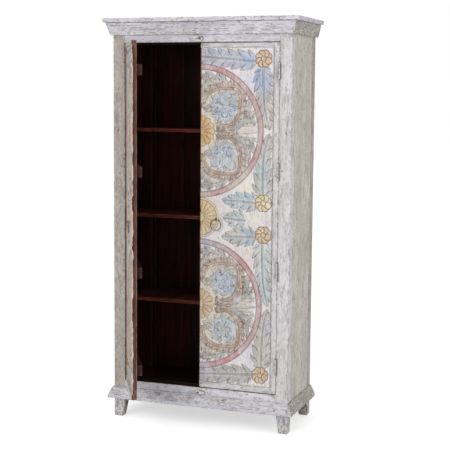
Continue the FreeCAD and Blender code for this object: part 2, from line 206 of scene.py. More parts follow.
class Nodes:
    """The shader nodes of one tree, and the grain coordinates that its noises follow."""

    def __init__(self, tree):
        self.tree = tree
        self.grain = None

    def plug(self, value, socket):
        if isinstance(value, bpy.types.NodeSocket):
            self.tree.links.new(value, socket)
        else:
            socket.default_value = value

    def add(self, kind, values=None, **settings):
        """A node with its settings, and values or links by socket name or number."""
        node = self.tree.nodes.new("ShaderNode" + kind)
        for name, setting in settings.items():
            setattr(node, name, setting)
        for name, value in (values or {}).items():
            self.plug(value, node.inputs[name])
        return node

    def calc(self, operation, first, second=0.0):
        return self.add("Math", {0: first, 1: second}, operation=operation).outputs[0]

    def times(self, first, second):
        return self.calc("MULTIPLY", first, second)

    def plus(self, first, second):
        return self.calc("ADD", first, second)

    def less(self, first, second):
        return self.calc("SUBTRACT", first, second)

    def ramp(self, value, low, high, start=0.0, end=1.0):
        """Start below low, end above high, and a soft step between."""
        values = {"Value": value, "From Min": low, "From Max": high, "To Min": start, "To Max": end}
        return self.add("MapRange", values, interpolation_type="SMOOTHSTEP").outputs["Result"]

    def mix(self, share, first, second):
        return self.add("Mix", {0: share, 6: first, 7: second}, data_type="RGBA").outputs[2]

    def noise(self, across, along, detail=3.0, roughness=0.55):
        """Noise stretched along the grain: waves per metre across it and along it."""
        scaled = self.add("VectorMath", {0: self.grain, 1: (across, across, along)}, operation="MULTIPLY")
        values = {"Vector": scaled.outputs[0], "Scale": 1.0, "Detail": detail, "Roughness": roughness}
        return self.add("TexNoise", values).outputs["Fac"]

    def group(self, tree, values):
        """A node group by its tree, with values by socket name."""
        return self.add("Group", values, node_tree=tree).outputs

    def mark(self, name):
        """What a modelled piece carries under a name."""
        return self.add("Attribute", attribute_name=name).outputs

    def board_grain(self):
        """Grain coordinates and edge distance that a modelled board carries."""
        self.grain = self.mark("grain")["Vector"]
        return {"Grain": self.grain, "Edge": self.mark("edge")["Fac"]}

    def frame_grain(self, axis):
        """Grain coordinates of a piece of the frame, along X, Y or Z of the object."""
        split = self.add("SeparateXYZ", {0: self.add("TexCoord").outputs["Object"]}).outputs
        order = {"X": (1, 2, 0), "Y": (2, 0, 1), "Z": (0, 1, 2)}[axis]
        self.grain = self.add("CombineXYZ", {n: split[source] for n, source in enumerate(order)}).outputs[0]
        return {"Grain": self.grain, "Edge": FAR}


def shader_group(name, outputs, **inputs):
    """A new node group by the kinds of its sockets: its nodes, its inputs and its outputs."""
    tree = bpy.data.node_groups.new(name, "ShaderNodeTree")
    for way, sockets in (("INPUT", {"Grain": "Vector", **inputs}), ("OUTPUT", outputs)):
        for socket, kind in sockets.items():
            tree.interface.new_socket(socket, in_out=way, socket_type="NodeSocket" + kind)
    nodes = Nodes(tree)
    given = tree.nodes.new("NodeGroupInput").outputs
    nodes.grain = given["Grain"]
    return nodes, given, tree.nodes.new("NodeGroupOutput").inputs


def edge_rub_group():
    """Where handling has rubbed the edges: 1 at an edge, fading over a width that varies."""
    nodes, given, result = shader_group("Edge rub", {"Rub": "Float"}, Edge="Float", Width="Float")
    uneven = nodes.noise(60, 22, detail=5)
    fine = nodes.noise(420, 160, detail=2)
    spread = nodes.plus(nodes.ramp(uneven, 0.34, 0.70, 0.1, 1.9), nodes.times(fine, 0.4))
    share = nodes.calc("DIVIDE", given["Edge"], nodes.times(given["Width"], spread))
    nodes.plug(nodes.ramp(share, 0.35, 1.0, 1.0, 0.0), result["Rub"])
    return nodes.tree


def whitewash_group():
    """Thin lime paint over old wood: streaks along the grain, cracks, specks and rubbed edges."""
    nodes, given, result = shader_group(
        "Whitewash", {"Color": "Color", "Roughness": "Float", "Height": "Float"},
        Edge="Float", Light="Color", Shade="Color", Streak="Color", Bare="Color", Age="Float")
    ramp = nodes.ramp
    times = nodes.times
    broad = nodes.noise(9, 3.6, detail=4)
    soft = nodes.noise(45, 18, detail=5, roughness=0.65)
    streak = nodes.noise(210, 22, detail=5, roughness=0.7)
    fine = nodes.noise(640, 60, detail=3, roughness=0.6)
    speck = nodes.noise(380, 240, detail=3, roughness=0.7)
    chalk = nodes.noise(120, 60, detail=4)
    mottle = nodes.noise(170, 56, detail=4, roughness=0.7)
    pit = nodes.noise(120, 120, detail=0)
    crack_wave = nodes.noise(75, 5, detail=4, roughness=0.45)

    thin = times(ramp(streak, 0.50, 0.70), ramp(chalk, 0.32, 0.62, 0.25, 0.85))
    specks = times(ramp(speck, 0.61, 0.70), ramp(soft, 0.40, 0.62, 0.15, 0.8))
    crack = ramp(nodes.calc("ABSOLUTE", nodes.less(crack_wave, 0.5)), 0.002, 0.012, 1.0, 0.0)
    crack = times(crack, ramp(soft, 0.46, 0.60))
    worn = nodes.group(RUB, {"Grain": nodes.grain, "Edge": given["Edge"], "Width": 0.0036})
    pale = nodes.mix(ramp(chalk, 0.42, 0.58), colour(224, 219, 210), given["Bare"])

    body = nodes.mix(ramp(broad, 0.36, 0.66), given["Light"], given["Shade"])
    for share, tint in (
        (ramp(soft, 0.46, 0.74, 0.0, 0.60), given["Streak"]),
        (times(thin, given["Age"]), given["Streak"]),
        (ramp(chalk, 0.56, 0.78, 0.0, 0.40), colour(226, 224, 228)),
        (ramp(fine, 0.30, 0.46, 0.30, 0.0), given["Streak"]),
        (ramp(mottle, 0.50, 0.68, 0.0, 0.55), given["Streak"]),
        (ramp(mottle, 0.32, 0.46, 0.45, 0.0), colour(230, 228, 230)),
        (times(specks, given["Age"]), given["Bare"]),
        (times(crack, 0.75), colour(92, 86, 84)),
        (ramp(pit, 0.77, 0.81, 0.0, 0.85), colour(62, 54, 52)),
        (times(worn["Rub"], 0.70), pale),
    ):
        body = nodes.mix(share, body, tint)
    nodes.plug(body, result["Color"])
    nodes.plug(ramp(soft, 0.3, 0.7, 0.62, 0.92), result["Roughness"])

    relief = nodes.plus(times(fine, 0.30), times(streak, 0.55))
    relief = nodes.less(relief, times(crack, 0.9))
    nodes.plug(nodes.less(relief, times(specks, 0.35)), result["Height"])
    return nodes.tree


def bare_wood_group():
    """Old stained timber: growth streaks, pores, dust and a paler rubbed edge."""
    nodes, given, result = shader_group(
        "Bare wood", {"Color": "Color", "Roughness": "Float", "Height": "Float"},
        Edge="Float", Light="Color", Dark="Color", Rubbed="Color", Width="Float")
    ramp = nodes.ramp
    broad = nodes.noise(11, 1.6, detail=4)
    streak = nodes.noise(130, 3.5, detail=6, roughness=0.65)
    pores = nodes.noise(620, 24, detail=2)
    worn = nodes.group(RUB, {"Grain": nodes.grain, "Edge": given["Edge"], "Width": given["Width"]})
    body = nodes.mix(ramp(broad, 0.34, 0.66), given["Light"], given["Dark"])
    for share, tint in (
        (ramp(streak, 0.42, 0.68, 0.0, 0.75), "Dark"),
        (ramp(streak, 0.30, 0.42, 0.35, 0.0), "Rubbed"),
        (ramp(pores, 0.30, 0.44, 0.55, 0.0), "Dark"),
        (nodes.times(worn["Rub"], 0.80), "Rubbed"),
    ):
        body = nodes.mix(share, body, given[tint])
    nodes.plug(body, result["Color"])
    nodes.plug(ramp(streak, 0.3, 0.7, 0.52, 0.80), result["Roughness"])
    nodes.plug(nodes.plus(nodes.times(streak, 0.6), nodes.times(pores, 0.4)), result["Height"])
    return nodes.tree


def painted_relief_group():
    """Worn colour washes on the carving, with the cut lines darkened, partly dirt and partly painted shade,
    and the crests lightened, partly rubbing and partly painted highlight.
    """
    nodes, given, result = shader_group(
        "Painted relief", {"Color": "Color"},
        Ground="Color", Paint="Color", Cover="Float", Groove="Float", Crest="Float")
    ramp = nodes.ramp
    times = nodes.times
    patch = nodes.noise(26, 17, detail=5, roughness=0.6)
    brush = nodes.noise(190, 42, detail=4, roughness=0.65)
    grit = nodes.noise(520, 380, detail=2)
    mottle = nodes.noise(130, 110, detail=4, roughness=0.7)
    hold = times(ramp(patch, 0.30, 0.62, 0.62, 1.0), ramp(brush, 0.34, 0.60, 0.78, 1.0))
    deep = nodes.mix(ramp(brush, 0.40, 0.66, 0.0, 0.30), given["Paint"], colour(96, 88, 92))
    body = given["Ground"]
    for share, tint in (
        (times(given["Cover"], hold), deep),
        # Crests lightened: partly rubbed paint, partly painted highlight
        (times(given["Crest"], ramp(grit, 0.44, 0.62, 0.04, 0.34)), colour(232, 226, 222)),
        (ramp(mottle, 0.52, 0.70, 0.0, 0.34), colour(112, 102, 98)),
        (ramp(mottle, 0.30, 0.46, 0.22, 0.0), colour(236, 230, 222)),
        # Cut lines darkened: partly dirt, partly painted shade in the cuts
        (times(given["Groove"], ramp(patch, 0.28, 0.50, 0.60, 1.0)), colour(56, 48, 49)),
    ):
        body = nodes.mix(share, body, tint)
    nodes.plug(body, result["Color"])
    return nodes.tree


RUB = edge_rub_group()
WHITEWASH = whitewash_group()
BARE_WOOD = bare_wood_group()
PAINTED_RELIEF = painted_relief_group()


# Materials

def new_material(name):
    material = bpy.data.materials.new(name)
    material.use_nodes = True
    return material, Nodes(material.node_tree)


def surface(nodes, base, roughness, height, distance, strength):
    """Sends a colour, a roughness and a relief to the shader, and returns the shader's sockets."""
    sockets = nodes.tree.nodes["Principled BSDF"].inputs
    nodes.plug(base, sockets["Base Color"])
    nodes.plug(roughness, sockets["Roughness"])
    relief = nodes.add("Bump", {"Strength": strength, "Distance": distance, "Height": height})
    nodes.plug(relief.outputs["Normal"], sockets["Normal"])
    return sockets


def whitewashed(name, light, shade, streak, bare, age=0.8):
    material, nodes = new_material(name + "_whitewash")
    tints = colours(light=light, shade=shade, streak=streak, bare=bare)
    made = nodes.group(WHITEWASH, {**nodes.board_grain(), **tints, "Age": age})
    surface(nodes, made["Color"], made["Roughness"], made["Height"], 0.0009, 0.8)
    return material


def timber(name, light, dark, rubbed, axis=None, rub_width=0.003):
    """Bare or stained wood: on a modelled board, or on a piece of the frame with its grain along an axis."""
    material, nodes = new_material(name)
    grain = nodes.frame_grain(axis) if axis else nodes.board_grain()
    tints = colours(light=light, dark=dark, rubbed=rubbed)
    made = nodes.group(BARE_WOOD, {**grain, **tints, "Width": rub_width})
    sockets = surface(nodes, made["Color"], made["Roughness"], made["Height"], 0.0006, 0.7)
    sockets["Specular IOR Level"].default_value = 0.2
    return material


def painted_carving(name, light, shade, streak):
    material, nodes = new_material(name)
    tints = colours(light=light, shade=shade, streak=streak, bare=(200, 188, 174))
    ground = nodes.group(WHITEWASH, {**nodes.board_grain(), **tints, "Edge": FAR, "Age": 0.3})
    marks = {mark.capitalize(): nodes.mark(mark)["Fac"] for mark in ("cover", "groove", "crest")}
    marks["Paint"] = nodes.mark("paint")["Color"]
    made = nodes.group(PAINTED_RELIEF, {"Grain": nodes.grain, "Ground": ground["Color"], **marks})
    surface(nodes, made["Color"], ground["Roughness"], ground["Height"], 0.0008, 0.7)
    return material


def aged_iron(name, dark, rust, bright, metal, bare_and_shade=None):
    """Hand-worked iron: dark skin, rust, rubbed spots, and where named a darker colour on the sides that turn
    from its front: partly bare iron where the paint did not reach, partly painted shade.
    """
    material, nodes = new_material(name)
    nodes.frame_grain("Z")
    bloom = nodes.noise(210, 210, detail=5, roughness=0.65)
    pits = nodes.noise(900, 900, detail=3)
    rubbed = nodes.noise(90, 90, detail=4)
    body = nodes.mix(nodes.ramp(bloom, 0.46, 0.64), colour(*dark), colour(*rust))
    body = nodes.mix(nodes.ramp(rubbed, 0.54, 0.66, 0.0, 0.75), body, colour(*bright))
    if bare_and_shade:
        # The sides that turn from the front go darker: partly bare iron, partly painted shade round the hinge
        # barrels
        facing = nodes.add("SeparateXYZ", {0: nodes.add("TexCoord").outputs["Normal"]}).outputs["Y"]
        body = nodes.mix(nodes.ramp(facing, -0.80, -0.50), body, colour(*bare_and_shade))
    roughness = nodes.ramp(pits, 0.35, 0.65, 0.42, 0.72)
    sockets = surface(nodes, body, roughness, nodes.plus(pits, bloom), 0.0003, 0.6)
    nodes.plug(nodes.times(nodes.ramp(bloom, 0.46, 0.64, 1.0, 0.25), metal), sockets["Metallic"])
    return material


FRONT_WASH = whitewashed("front", (222, 219, 227), (205, 201, 210), (164, 160, 168), (142, 130, 122))
POST_WASH = whitewashed("post", (224, 221, 223), (203, 199, 199), (152, 147, 145), (146, 136, 128))
# A darker, browner copy of the post wash: painted shade for the open door's shadow on the left post; the back
# posts take it too
SHADED_POST_WASH = whitewashed("grey", (185, 176, 169), (167, 157, 148), (140, 131, 123), (140, 125, 108))
# Warmer and darker than the front wash: the warmth is the sides' own tone, and part of the darkness is
# painted shade on sides that turn from the light
SIDE_TONE_AND_SHADE_WASH = whitewashed("side", (211, 206, 197), (191, 186, 175), (157, 151, 140), (138, 125, 108), 0.9)
MOULDING_WASH = whitewashed(
    "moulding", (217, 216, 226), (199, 198, 208), (153, 150, 158), (136, 124, 116), 1.0)
# A much darker copy of the moulding wash for the side lengths: painted shade on profiles that face down and
# away from the light
SHADED_SIDE_MOULDING_WASH = whitewashed(
    "shaded_side_moulding", (182, 177, 169), (163, 158, 150), (124, 119, 111), (104, 96, 84), 1.0)
FOOT_WASH = whitewashed("foot", (194, 192, 204), (180, 177, 190), (156, 152, 164), (132, 128, 134), 0.5)
# Painted shade: a darker copy of the foot wash for the feet's inward faces
FOOT_SHADE = whitewashed("foot_inner_shade", (124, 121, 112), (100, 96, 88), (78, 72, 66), (122, 96, 90), 0.6)
BUTTON_WASH = whitewashed("button", (230, 229, 230), (218, 217, 218), (190, 187, 188), (128, 121, 118), 0.5)
# A dark copy of the button wash for the buttons' sides and backs: painted shade round each button
SHADED_BUTTON_SIDE = whitewashed("button_side_shade", (146, 142, 142), (124, 119, 119), (98, 92, 92), (74, 68, 68))
DOOR_WASH = whitewashed("door", (220, 216, 218), (203, 199, 203), (160, 156, 160), (144, 132, 124))
# A darker, browner copy of the door wash for the left door: painted shade on its face that turns away from
# the light
SHADED_DOOR_WASH = whitewashed("shaded_door", (178, 168, 156), (160, 149, 136), (130, 119, 107), (120, 104, 88))
# Red-brown stain for faces inside the cabinet, made darker than the wood as painted shade for the dark inside
STAIN_AND_SHADE = timber("stained_and_shaded_boards", (64, 16, 11), (24, 7, 6), (84, 36, 25))
BACK_WOOD = timber("rough_back_boards", (112, 86, 70), (72, 52, 42), (140, 116, 98))
SHELF_STAIN = timber("stained_shelves", (104, 42, 28), (58, 20, 14), (136, 70, 50))
# A darker copy of the shelf stain for the shelves' tops and undersides: painted shade inside the cabinet
SHELF_TOP_STAIN_AND_SHADE = timber("stained_and_shaded_shelf_tops", (50, 20, 14), (26, 10, 8), (84, 42, 30))
LEDGE_STAIN = timber("stained_ledges", (68, 39, 33), (45, 25, 21), (80, 49, 42), rub_width=0.002)
DOOR_EDGE = timber("door_edge_wood", (122, 84, 72), (86, 54, 44), (154, 120, 106))
# Dark wood for the lip behind a door's carved face: painted shadow of the rebate step, with the real pale
# rubbing on its edge
SHADED_DOOR_LIP = timber("door_lip_shade_wood", (76, 40, 31), (50, 26, 20), (234, 212, 198), rub_width=0.0034)
CARVED = painted_carving("painted_carving", (242, 237, 237), (230, 223, 220), (202, 194, 188))
# A darker copy of the carving's ground for the left door: painted shade on its face that turns away from the
# light
SHADED_CARVING = painted_carving("shaded_carving", (196, 184, 170), (181, 168, 153), (152, 139, 124))
RING_IRON = aged_iron("ring_iron", (104, 92, 84), (84, 62, 48), (208, 200, 190), 0.4)
# The last colour of each hinge iron darkens the barrels' sides: partly bare iron, partly painted shade
HINGE_IRON = aged_iron(
    "painted_hinge_iron", (208, 205, 206), (132, 124, 123), (92, 82, 80), 0.1, (78, 70, 68))
# A darker, warmer copy of the painted hinge iron for the left hinges: painted shade, as the left post stands
# in the open door's shadow
SHADED_HINGE_IRON = aged_iron(
    "shaded_hinge_iron", (176, 167, 158), (128, 116, 106), (98, 86, 78), 0.1, (112, 100, 90))
SCREW_IRON = aged_iron("screw_iron", (52, 42, 38), (84, 58, 44), (120, 108, 100), 0.5)


# Woodworking: every board starts as a plain block, is cut up, rounded and worn, and keeps its grain

def only(piece):
    """Makes a piece the one that is selected and active."""
    bpy.ops.object.select_all(action="DESELECT")
    piece.select_set(True)
    bpy.context.view_layer.objects.active = piece


def new_piece(name, make, scale=(1, 1, 1), **settings):
    """What an add operator makes, named and scaled, with its place and turn taken into its mesh."""
    bpy.ops.object.select_all(action="DESELECT")
    make(**settings)
    piece = bpy.context.active_object
    piece.name = name
    piece.data.name = name
    piece.scale = scale
    bpy.ops.object.transform_apply(location=True, rotation=True, scale=True)
    return piece


def plain_box(name, low, high):
    low = Vector(low)
    high = Vector(high)
    return new_piece(name, bpy.ops.mesh.primitive_cube_add, high - low, size=1, location=(low + high) / 2)


def edit(piece, pick="SELECT"):
    """Opens a piece by its edges, with all or none of them selected."""
    only(piece)
    bpy.ops.object.mode_set(mode="EDIT")
    bpy.ops.mesh.select_mode(type="EDGE")
    bpy.ops.mesh.select_all(action=pick)


def close():
    bpy.ops.object.mode_set(mode="OBJECT")


def extruded(name, start_ring, end_ring):
    """A block between two rings of corners.

    A filled circle takes the first shape and is drawn out to the second.
    """
    piece = new_piece(
        name, bpy.ops.mesh.primitive_circle_add, vertices=len(start_ring), radius=1, fill_type="NGON")
    place_of = {}
    for n, corner in enumerate(piece.data.vertices):
        corner.co = start_ring[n]
        place_of[tuple(corner.co)] = end_ring[n]
    edit(piece)
    bpy.ops.mesh.extrude_region_move()
    close()
    for corner in piece.data.vertices:
        if corner.select:
            corner.co = place_of[tuple(corner.co)]
    edit(piece)
    bpy.ops.mesh.normals_make_consistent(inside=False)
    close()
    return piece


def standing(name, plan, low, high):
    """A block with a flat plan between two heights."""
    return extruded(name, [(x, y, low) for x, y in plan], [(x, y, high) for x, y in plan])


def pick_edges(piece, test):
    """Selects the edges whose two ends pass a test, and leaves the piece in edit mode."""
    edit(piece, "DESELECT")
    close()
    corners = piece.data.vertices
    for edge in piece.data.edges:
        first, second = edge.vertices
        edge.select = test(corners[first].co, corners[second].co)
    bpy.ops.object.mode_set(mode="EDIT")


def run_along(first, second, axis):
    """The length of an edge along an axis, or 0 if it runs another way."""
    way = second - first
    run = abs(way[axis])
    return round(run, 4) if run > RUNNING * way.length else 0


def divide(piece, axis, step):
    """Cuts a piece across an axis into even lengths of about a step, and at least in two."""
    corners = piece.data.vertices
    runs = set()
    for edge in piece.data.edges:
        first, second = edge.vertices
        runs.add(run_along(corners[first].co, corners[second].co, axis))
    for run in sorted(runs - {0}):
        pick_edges(piece, lambda first, second: run_along(first, second, axis) == run)
        bpy.ops.mesh.subdivide(number_cuts=max(1, int(run / step)))
        close()


def find_creases(piece):
    """The two ends of every sharp edge."""
    shell = bmesh.new()
    shell.from_mesh(piece.data)
    sharp = [edge for edge in shell.edges if edge.calc_face_angle(0) > CREASE_ANGLE]
    found = [(np.array(edge.verts[0].co), np.array(edge.verts[1].co)) for edge in sharp]
    shell.free()
    return found


def round_creases(piece, radius):
    edit(piece, "DESELECT")
    bpy.ops.mesh.edges_select_sharp(sharpness=CREASE_ANGLE)
    bpy.ops.mesh.bevel(offset=radius, segments=ROUND_SEGMENTS, affect="EDGES")
    close()


def apply_modifier(piece, kind, **settings):
    only(piece)
    modifier = piece.modifiers.new(kind.lower(), kind)
    for name, setting in settings.items():
        setattr(modifier, name, setting)
    bpy.ops.object.modifier_apply(modifier=modifier.name)


def wear_down(piece, depth):
    """Pushes the surface in unevenly, by up to a depth."""
    texture = bpy.data.textures.new(piece.name + "_wear", "CLOUDS")
    texture.noise_scale = WEAR_SIZE
    texture.noise_depth = WEAR_DETAIL
    apply_modifier(piece, "DISPLACE", texture=texture, texture_coords="LOCAL", mid_level=1.0, strength=depth)


def corner_array(piece):
    places = np.empty(len(piece.data.vertices) * 3, np.float32)
    piece.data.vertices.foreach_get("co", places)
    return places.reshape(-1, 3)


def note(piece, name, kind, values):
    """Writes one value for each corner of a piece."""
    attribute = piece.data.attributes.new(name, kind, "POINT")
    field = {"FLOAT": "value", "FLOAT_VECTOR": "vector", "FLOAT_COLOR": "color"}[kind]
    attribute.data.foreach_set(field, np.asarray(values, np.float32).ravel())


def edge_distances(places, creases):
    nearest = np.full(len(places), FAR)
    for start, end in creases:
        way = end - start
        share = np.clip((places - start) @ way / (way @ way), 0, 1)
        foot = start + share[:, None] * way
        nearest = np.minimum(nearest, np.linalg.norm(places - foot, axis=1))
    return nearest


def note_grain(piece, axis, edges):
    """Grain coordinates with their third along an axis, from a place in the tree of the board's own."""
    places = corner_array(piece)
    across = [n for n in range(3) if n != axis]
    grain = places[:, across + [axis]] + draws.uniform(0, TREE_SPREAD, 3)
    note(piece, "grain", "FLOAT_VECTOR", grain)
    note(piece, "edge", "FLOAT", edges)


def work(piece, axis, radius=BOARD_ROUND, wear=BOARD_WEAR):
    """Turns a plain block into a worn board with its grain along an axis."""
    creases = find_creases(piece)
    for way in range(3):
        divide(piece, way, LONG_STEP if way == axis else CROSS_STEP)
    round_creases(piece, radius)
    edges = edge_distances(corner_array(piece), creases)
    wear_down(piece, wear)
    note_grain(piece, axis, edges)
    return piece


def board(name, low, high, axis, radius=BOARD_ROUND, wear=BOARD_WEAR):
    return work(plain_box(name, low, high), axis, radius, wear)


def finish_faces(piece, outside, inside=None, inward=()):
    """The outside finish, and the inside one on faces that look one of the inward ways."""
    piece.data.materials.clear()
    piece.data.materials.append(outside)
    if inside is None:
        return piece
    piece.data.materials.append(inside)
    ways = [Vector(way) for way in inward]
    for face in piece.data.polygons:
        if any(face.normal.dot(way) > FACING for way in ways):
            face.material_index = 1
    return piece


def join(pieces):
    only(pieces[0])
    for piece in pieces:
        piece.select_set(True)
    bpy.ops.object.join()
    return pieces[0]


def side_by_side(node, way, count, radius=BOARD_ROUND):
    """Upright boards along an axis that fill a node's box, each lapping the one before it."""
    low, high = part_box(node)
    pitch = (high[way] - low[way]) / count
    boards = []
    for n in range(count):
        near = low.copy()
        far = high.copy()
        near[way] = low[way] + n * pitch - (PLANK_LAP if n else 0)
        far[way] = low[way] + (n + 1) * pitch
        boards.append(board("dressed_" + node, near, far, 2, radius))
    return join(boards)


def settle(piece, *nodes, body="carcass", slot="whitewashed_wood"):
    """Smooths a finished piece, puts it on its body and lets it stand for its nodes."""
    only(piece)
    bpy.ops.object.shade_smooth_by_angle(angle=SMOOTH_ANGLE)
    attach(piece, body)
    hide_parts(*nodes)


def mirrored(piece, name):
    """A copy for the other side of the cabinet."""
    twin = piece.copy()
    twin.data = piece.data.copy()
    twin.name = name
    twin.data.name = name
    bpy.context.scene.collection.objects.link(twin)
    twin.data.transform(Matrix.Scale(-1, 4, Vector(RIGHTWARD)))
    twin.data.flip_normals()
    return twin


def hung_open(piece):
    """Swings a piece that is drawn on the closed left door to where that door stands at rest."""
    hinge = Vector(LEFT_HINGE["pos_m"])
    turn = Matrix.Rotation(math.radians(LEFT_HINGE["range_deg"][0]), 4, "Z")
    piece.data.transform(Matrix.Translation(hinge) @ turn @ Matrix.Translation(-hinge))
    return piece


# Carcass

def taper_foot(piece, inner_y_way):
    """Cuts the trunk at the foot's top and draws its two inner faces in towards the floor."""
    edit(piece)
    for height in (FOOT_HEIGHT, FOOT_CHAMFER):
        bpy.ops.mesh.select_all(action="SELECT")
        bpy.ops.mesh.bisect(plane_co=(0, 0, height), plane_no=UP)
    close()
    middle = sum((corner.co for corner in piece.data.vertices), Vector()) / len(piece.data.vertices)
    for corner in piece.data.vertices:
        if corner.co.z > FOOT_HEIGHT - FOOT_CHAMFER:
            continue
        inset = FOOT_CHAMFER if corner.co.z < FOOT_CHAMFER / 2 else 0
        inner_x = corner.co.x < middle.x
        inner_y = (corner.co.y - middle.y) * inner_y_way > 0
        corner.co.x += FOOT_TAPER + inset if inner_x else -inset
        corner.co.y -= inner_y_way * (FOOT_TAPER + inset if inner_y else -inset)


def finish_foot(post):
    """Greyer paint on the foot, and on the two faces of it that look inward a much darker copy of that wash,
    which is painted shade under the cabinet.
    """
    for finish in (FOOT_WASH, FOOT_SHADE):
        post.data.materials.append(finish)
    for face in post.data.polygons:
        if face.center.z < FOOT_HEIGHT:
            face.material_index += 2


def finish_rebate(post):
    """Whitewash on the part of the post that the closed door stands against."""
    for face in post.data.polygons:
        if face.center.y < STILE_HIGH.y:
            face.material_index = 0


def corner_posts():
    """Four posts: whitewashed outside, and stained on the faces that look into the cabinet, that stain
    darkened further as painted shade. The left posts and the back right post take a darker copy of the wash,
    painted shade for the open door's shadow on the left post.
    """
    for name, inward_y, gap, wash in (
        ("post_front", 1, GAP_PAINT, POST_WASH), ("post_back", -1, Vector(), SHADED_POST_WASH)
    ):
        low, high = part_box(name + "_right")
        post = plain_box("dressed_" + name + "_right", low - gap, high)
        taper_foot(post, inward_y)
        work(post, 2, POST_ROUND)
        twin = mirrored(post, "dressed_" + name + "_left")
        finish_faces(post, wash, STAIN_AND_SHADE, [LEFTWARD, (0, inward_y, 0)])
        finish_faces(twin, SHADED_POST_WASH, STAIN_AND_SHADE, [RIGHTWARD, (0, inward_y, 0)])
        if name == "post_front":
            finish_rebate(post)
        for piece, side in ((post, "_right"), (twin, "_left")):
            finish_foot(piece)
            settle(piece, name + side)


def front_rails():
    for name, inner_end in (("top_rail_front", DOWN), ("bottom_rail_front", UP)):
        rail = board("dressed_" + name, *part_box(name), 0)
        finish_faces(rail, FRONT_WASH, STAIN_AND_SHADE, [BACKWARD, inner_end])
        settle(rail, name)


def side_planks():
    right = side_by_side("side_planks_right", 1, SIDE_PLANK_COUNT)
    left = mirrored(right, "dressed_side_planks_left")
    for piece, side, inward in ((right, "right", LEFTWARD), (left, "left", RIGHTWARD)):
        finish_faces(piece, SIDE_TONE_AND_SHADE_WASH, STAIN_AND_SHADE, [inward])
        settle(piece, "side_planks_" + side)


def back_boards():
    back = side_by_side("back_boards", 0, BACK_BOARD_COUNT, BACK_BOARD_ROUND)
    finish_faces(back, STAIN_AND_SHADE, BACK_WOOD, [BACKWARD])
    settle(back, "back_boards", slot="stained_wood")


def top_board():
    top = board("dressed_top_board", *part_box("top_board"), 0)
    settle(finish_faces(top, MOULDING_WASH), "top_board")


def shelves():
    """Boards notched round the two back posts."""
    post_low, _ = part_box("post_back_right")
    notch_x = post_low.x - SHELF_CLEARANCE
    notch_y = post_low.y - SHELF_CLEARANCE
    for name in ("shelf_lower", "shelf_middle", "shelf_upper"):
        low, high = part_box(name)
        plan = [
            (low.x, low.y), (high.x, low.y), (high.x, notch_y), (notch_x, notch_y),
            (notch_x, high.y), (-notch_x, high.y), (-notch_x, notch_y), (low.x, notch_y),
        ]
        shelf = work(standing("dressed_" + name, plan, low.z, high.z), 0)
        # Tops and undersides take the darker copy of the stain, painted shade
        finish_faces(shelf, SHELF_STAIN, SHELF_TOP_STAIN_AND_SHADE, [UP, DOWN])
        settle(shelf, name, slot="stained_wood")


def cornice_profile():
    low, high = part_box("cornice_front")
    reach = FRONT - low.y
    return [
        (0, low.z),
        (CORNICE_BOTTOM_OVERHANG, low.z),
        (CORNICE_BOTTOM_OVERHANG, low.z + CORNICE_FILLET),
        (reach, high.z - CORNICE_FILLET),
        (reach, high.z),
        (0, high.z),
    ]


def base_profile():
    low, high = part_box("base_moulding_front")
    reach = FRONT - low.y
    return [
        (0, low.z),
        (reach, low.z),
        (reach, low.z + BASE_TOE),
        (BASE_TOP_OVERHANG, high.z - BASE_FILLET),
        (BASE_TOP_OVERHANG / 2, high.z),
        (0, high.z),
    ]


def finer(profile):
    """A profile with more points along its longer faces."""
    points = []
    for n, start in enumerate(profile):
        end = profile[(n + 1) % len(profile)]
        cuts = 1 + int(math.dist(start, end) / PROFILE_STEP)
        points += [tuple(a + (b - a) * cut / cuts for a, b in zip(start, end)) for cut in range(cuts)]
    return points


def mouldings(node, profile):
    """The front length and the two side lengths, mitred where they meet."""
    profile = finer(profile)
    left_end = [(-HALF_WIDTH - out, FRONT - out, z) for out, z in profile]
    right_end = [(HALF_WIDTH + out, FRONT - out, z) for out, z in profile]
    back_end = [(HALF_WIDTH + out, BACK, z) for out, z in profile]
    front = work(extruded("dressed_" + node + "_front", left_end, right_end), 0, MOULDING_ROUND)
    side = work(extruded("dressed_" + node + "_right", right_end, back_end), 1, MOULDING_ROUND)
    twin = mirrored(side, "dressed_" + node + "_left")
    settle(finish_faces(front, MOULDING_WASH), node + "_front")
    # The side lengths take the darker copy of the wash, painted shade
    settle(finish_faces(side, SHADED_SIDE_MOULDING_WASH), node + "_right")
    settle(finish_faces(twin, SHADED_SIDE_MOULDING_WASH), node + "_left")


# Carving, in millimetres: x from the line where the doors meet, z from the floor

GOLD = (colour(222, 160, 80), colour(220, 180, 98))
PALE_GOLD = (colour(232, 200, 130), colour(240, 218, 164))
ORANGE_GOLD = (colour(216, 158, 94), colour(212, 168, 100))
BLUE = (colour(148, 177, 202), colour(177, 192, 204))
SKY_BLUE = (colour(144, 175, 217), colour(178, 194, 216))
TEAL = (colour(142, 179, 190), colour(174, 194, 196))
PALE_TEAL = colour(188, 208, 212)
LILAC = (colour(178, 172, 198), colour(168, 164, 182))
LEAF_GREY = (colour(148, 144, 146), colour(166, 160, 154))
LEAF_GREEN = (colour(152, 160, 144), colour(178, 178, 164))
SAND = (colour(208, 192, 170), colour(192, 176, 156))
SCROLL_BROWN = (colour(143, 111, 87), colour(186, 152, 120))
FADED_GOLD = (colour(214, 166, 100), colour(218, 186, 134))
RING_PINK = (colour(176, 120, 124), colour(184, 148, 142))
STEM_GREEN = (colour(154, 176, 162), colour(170, 180, 172))
CREAM = colour(238, 232, 210)
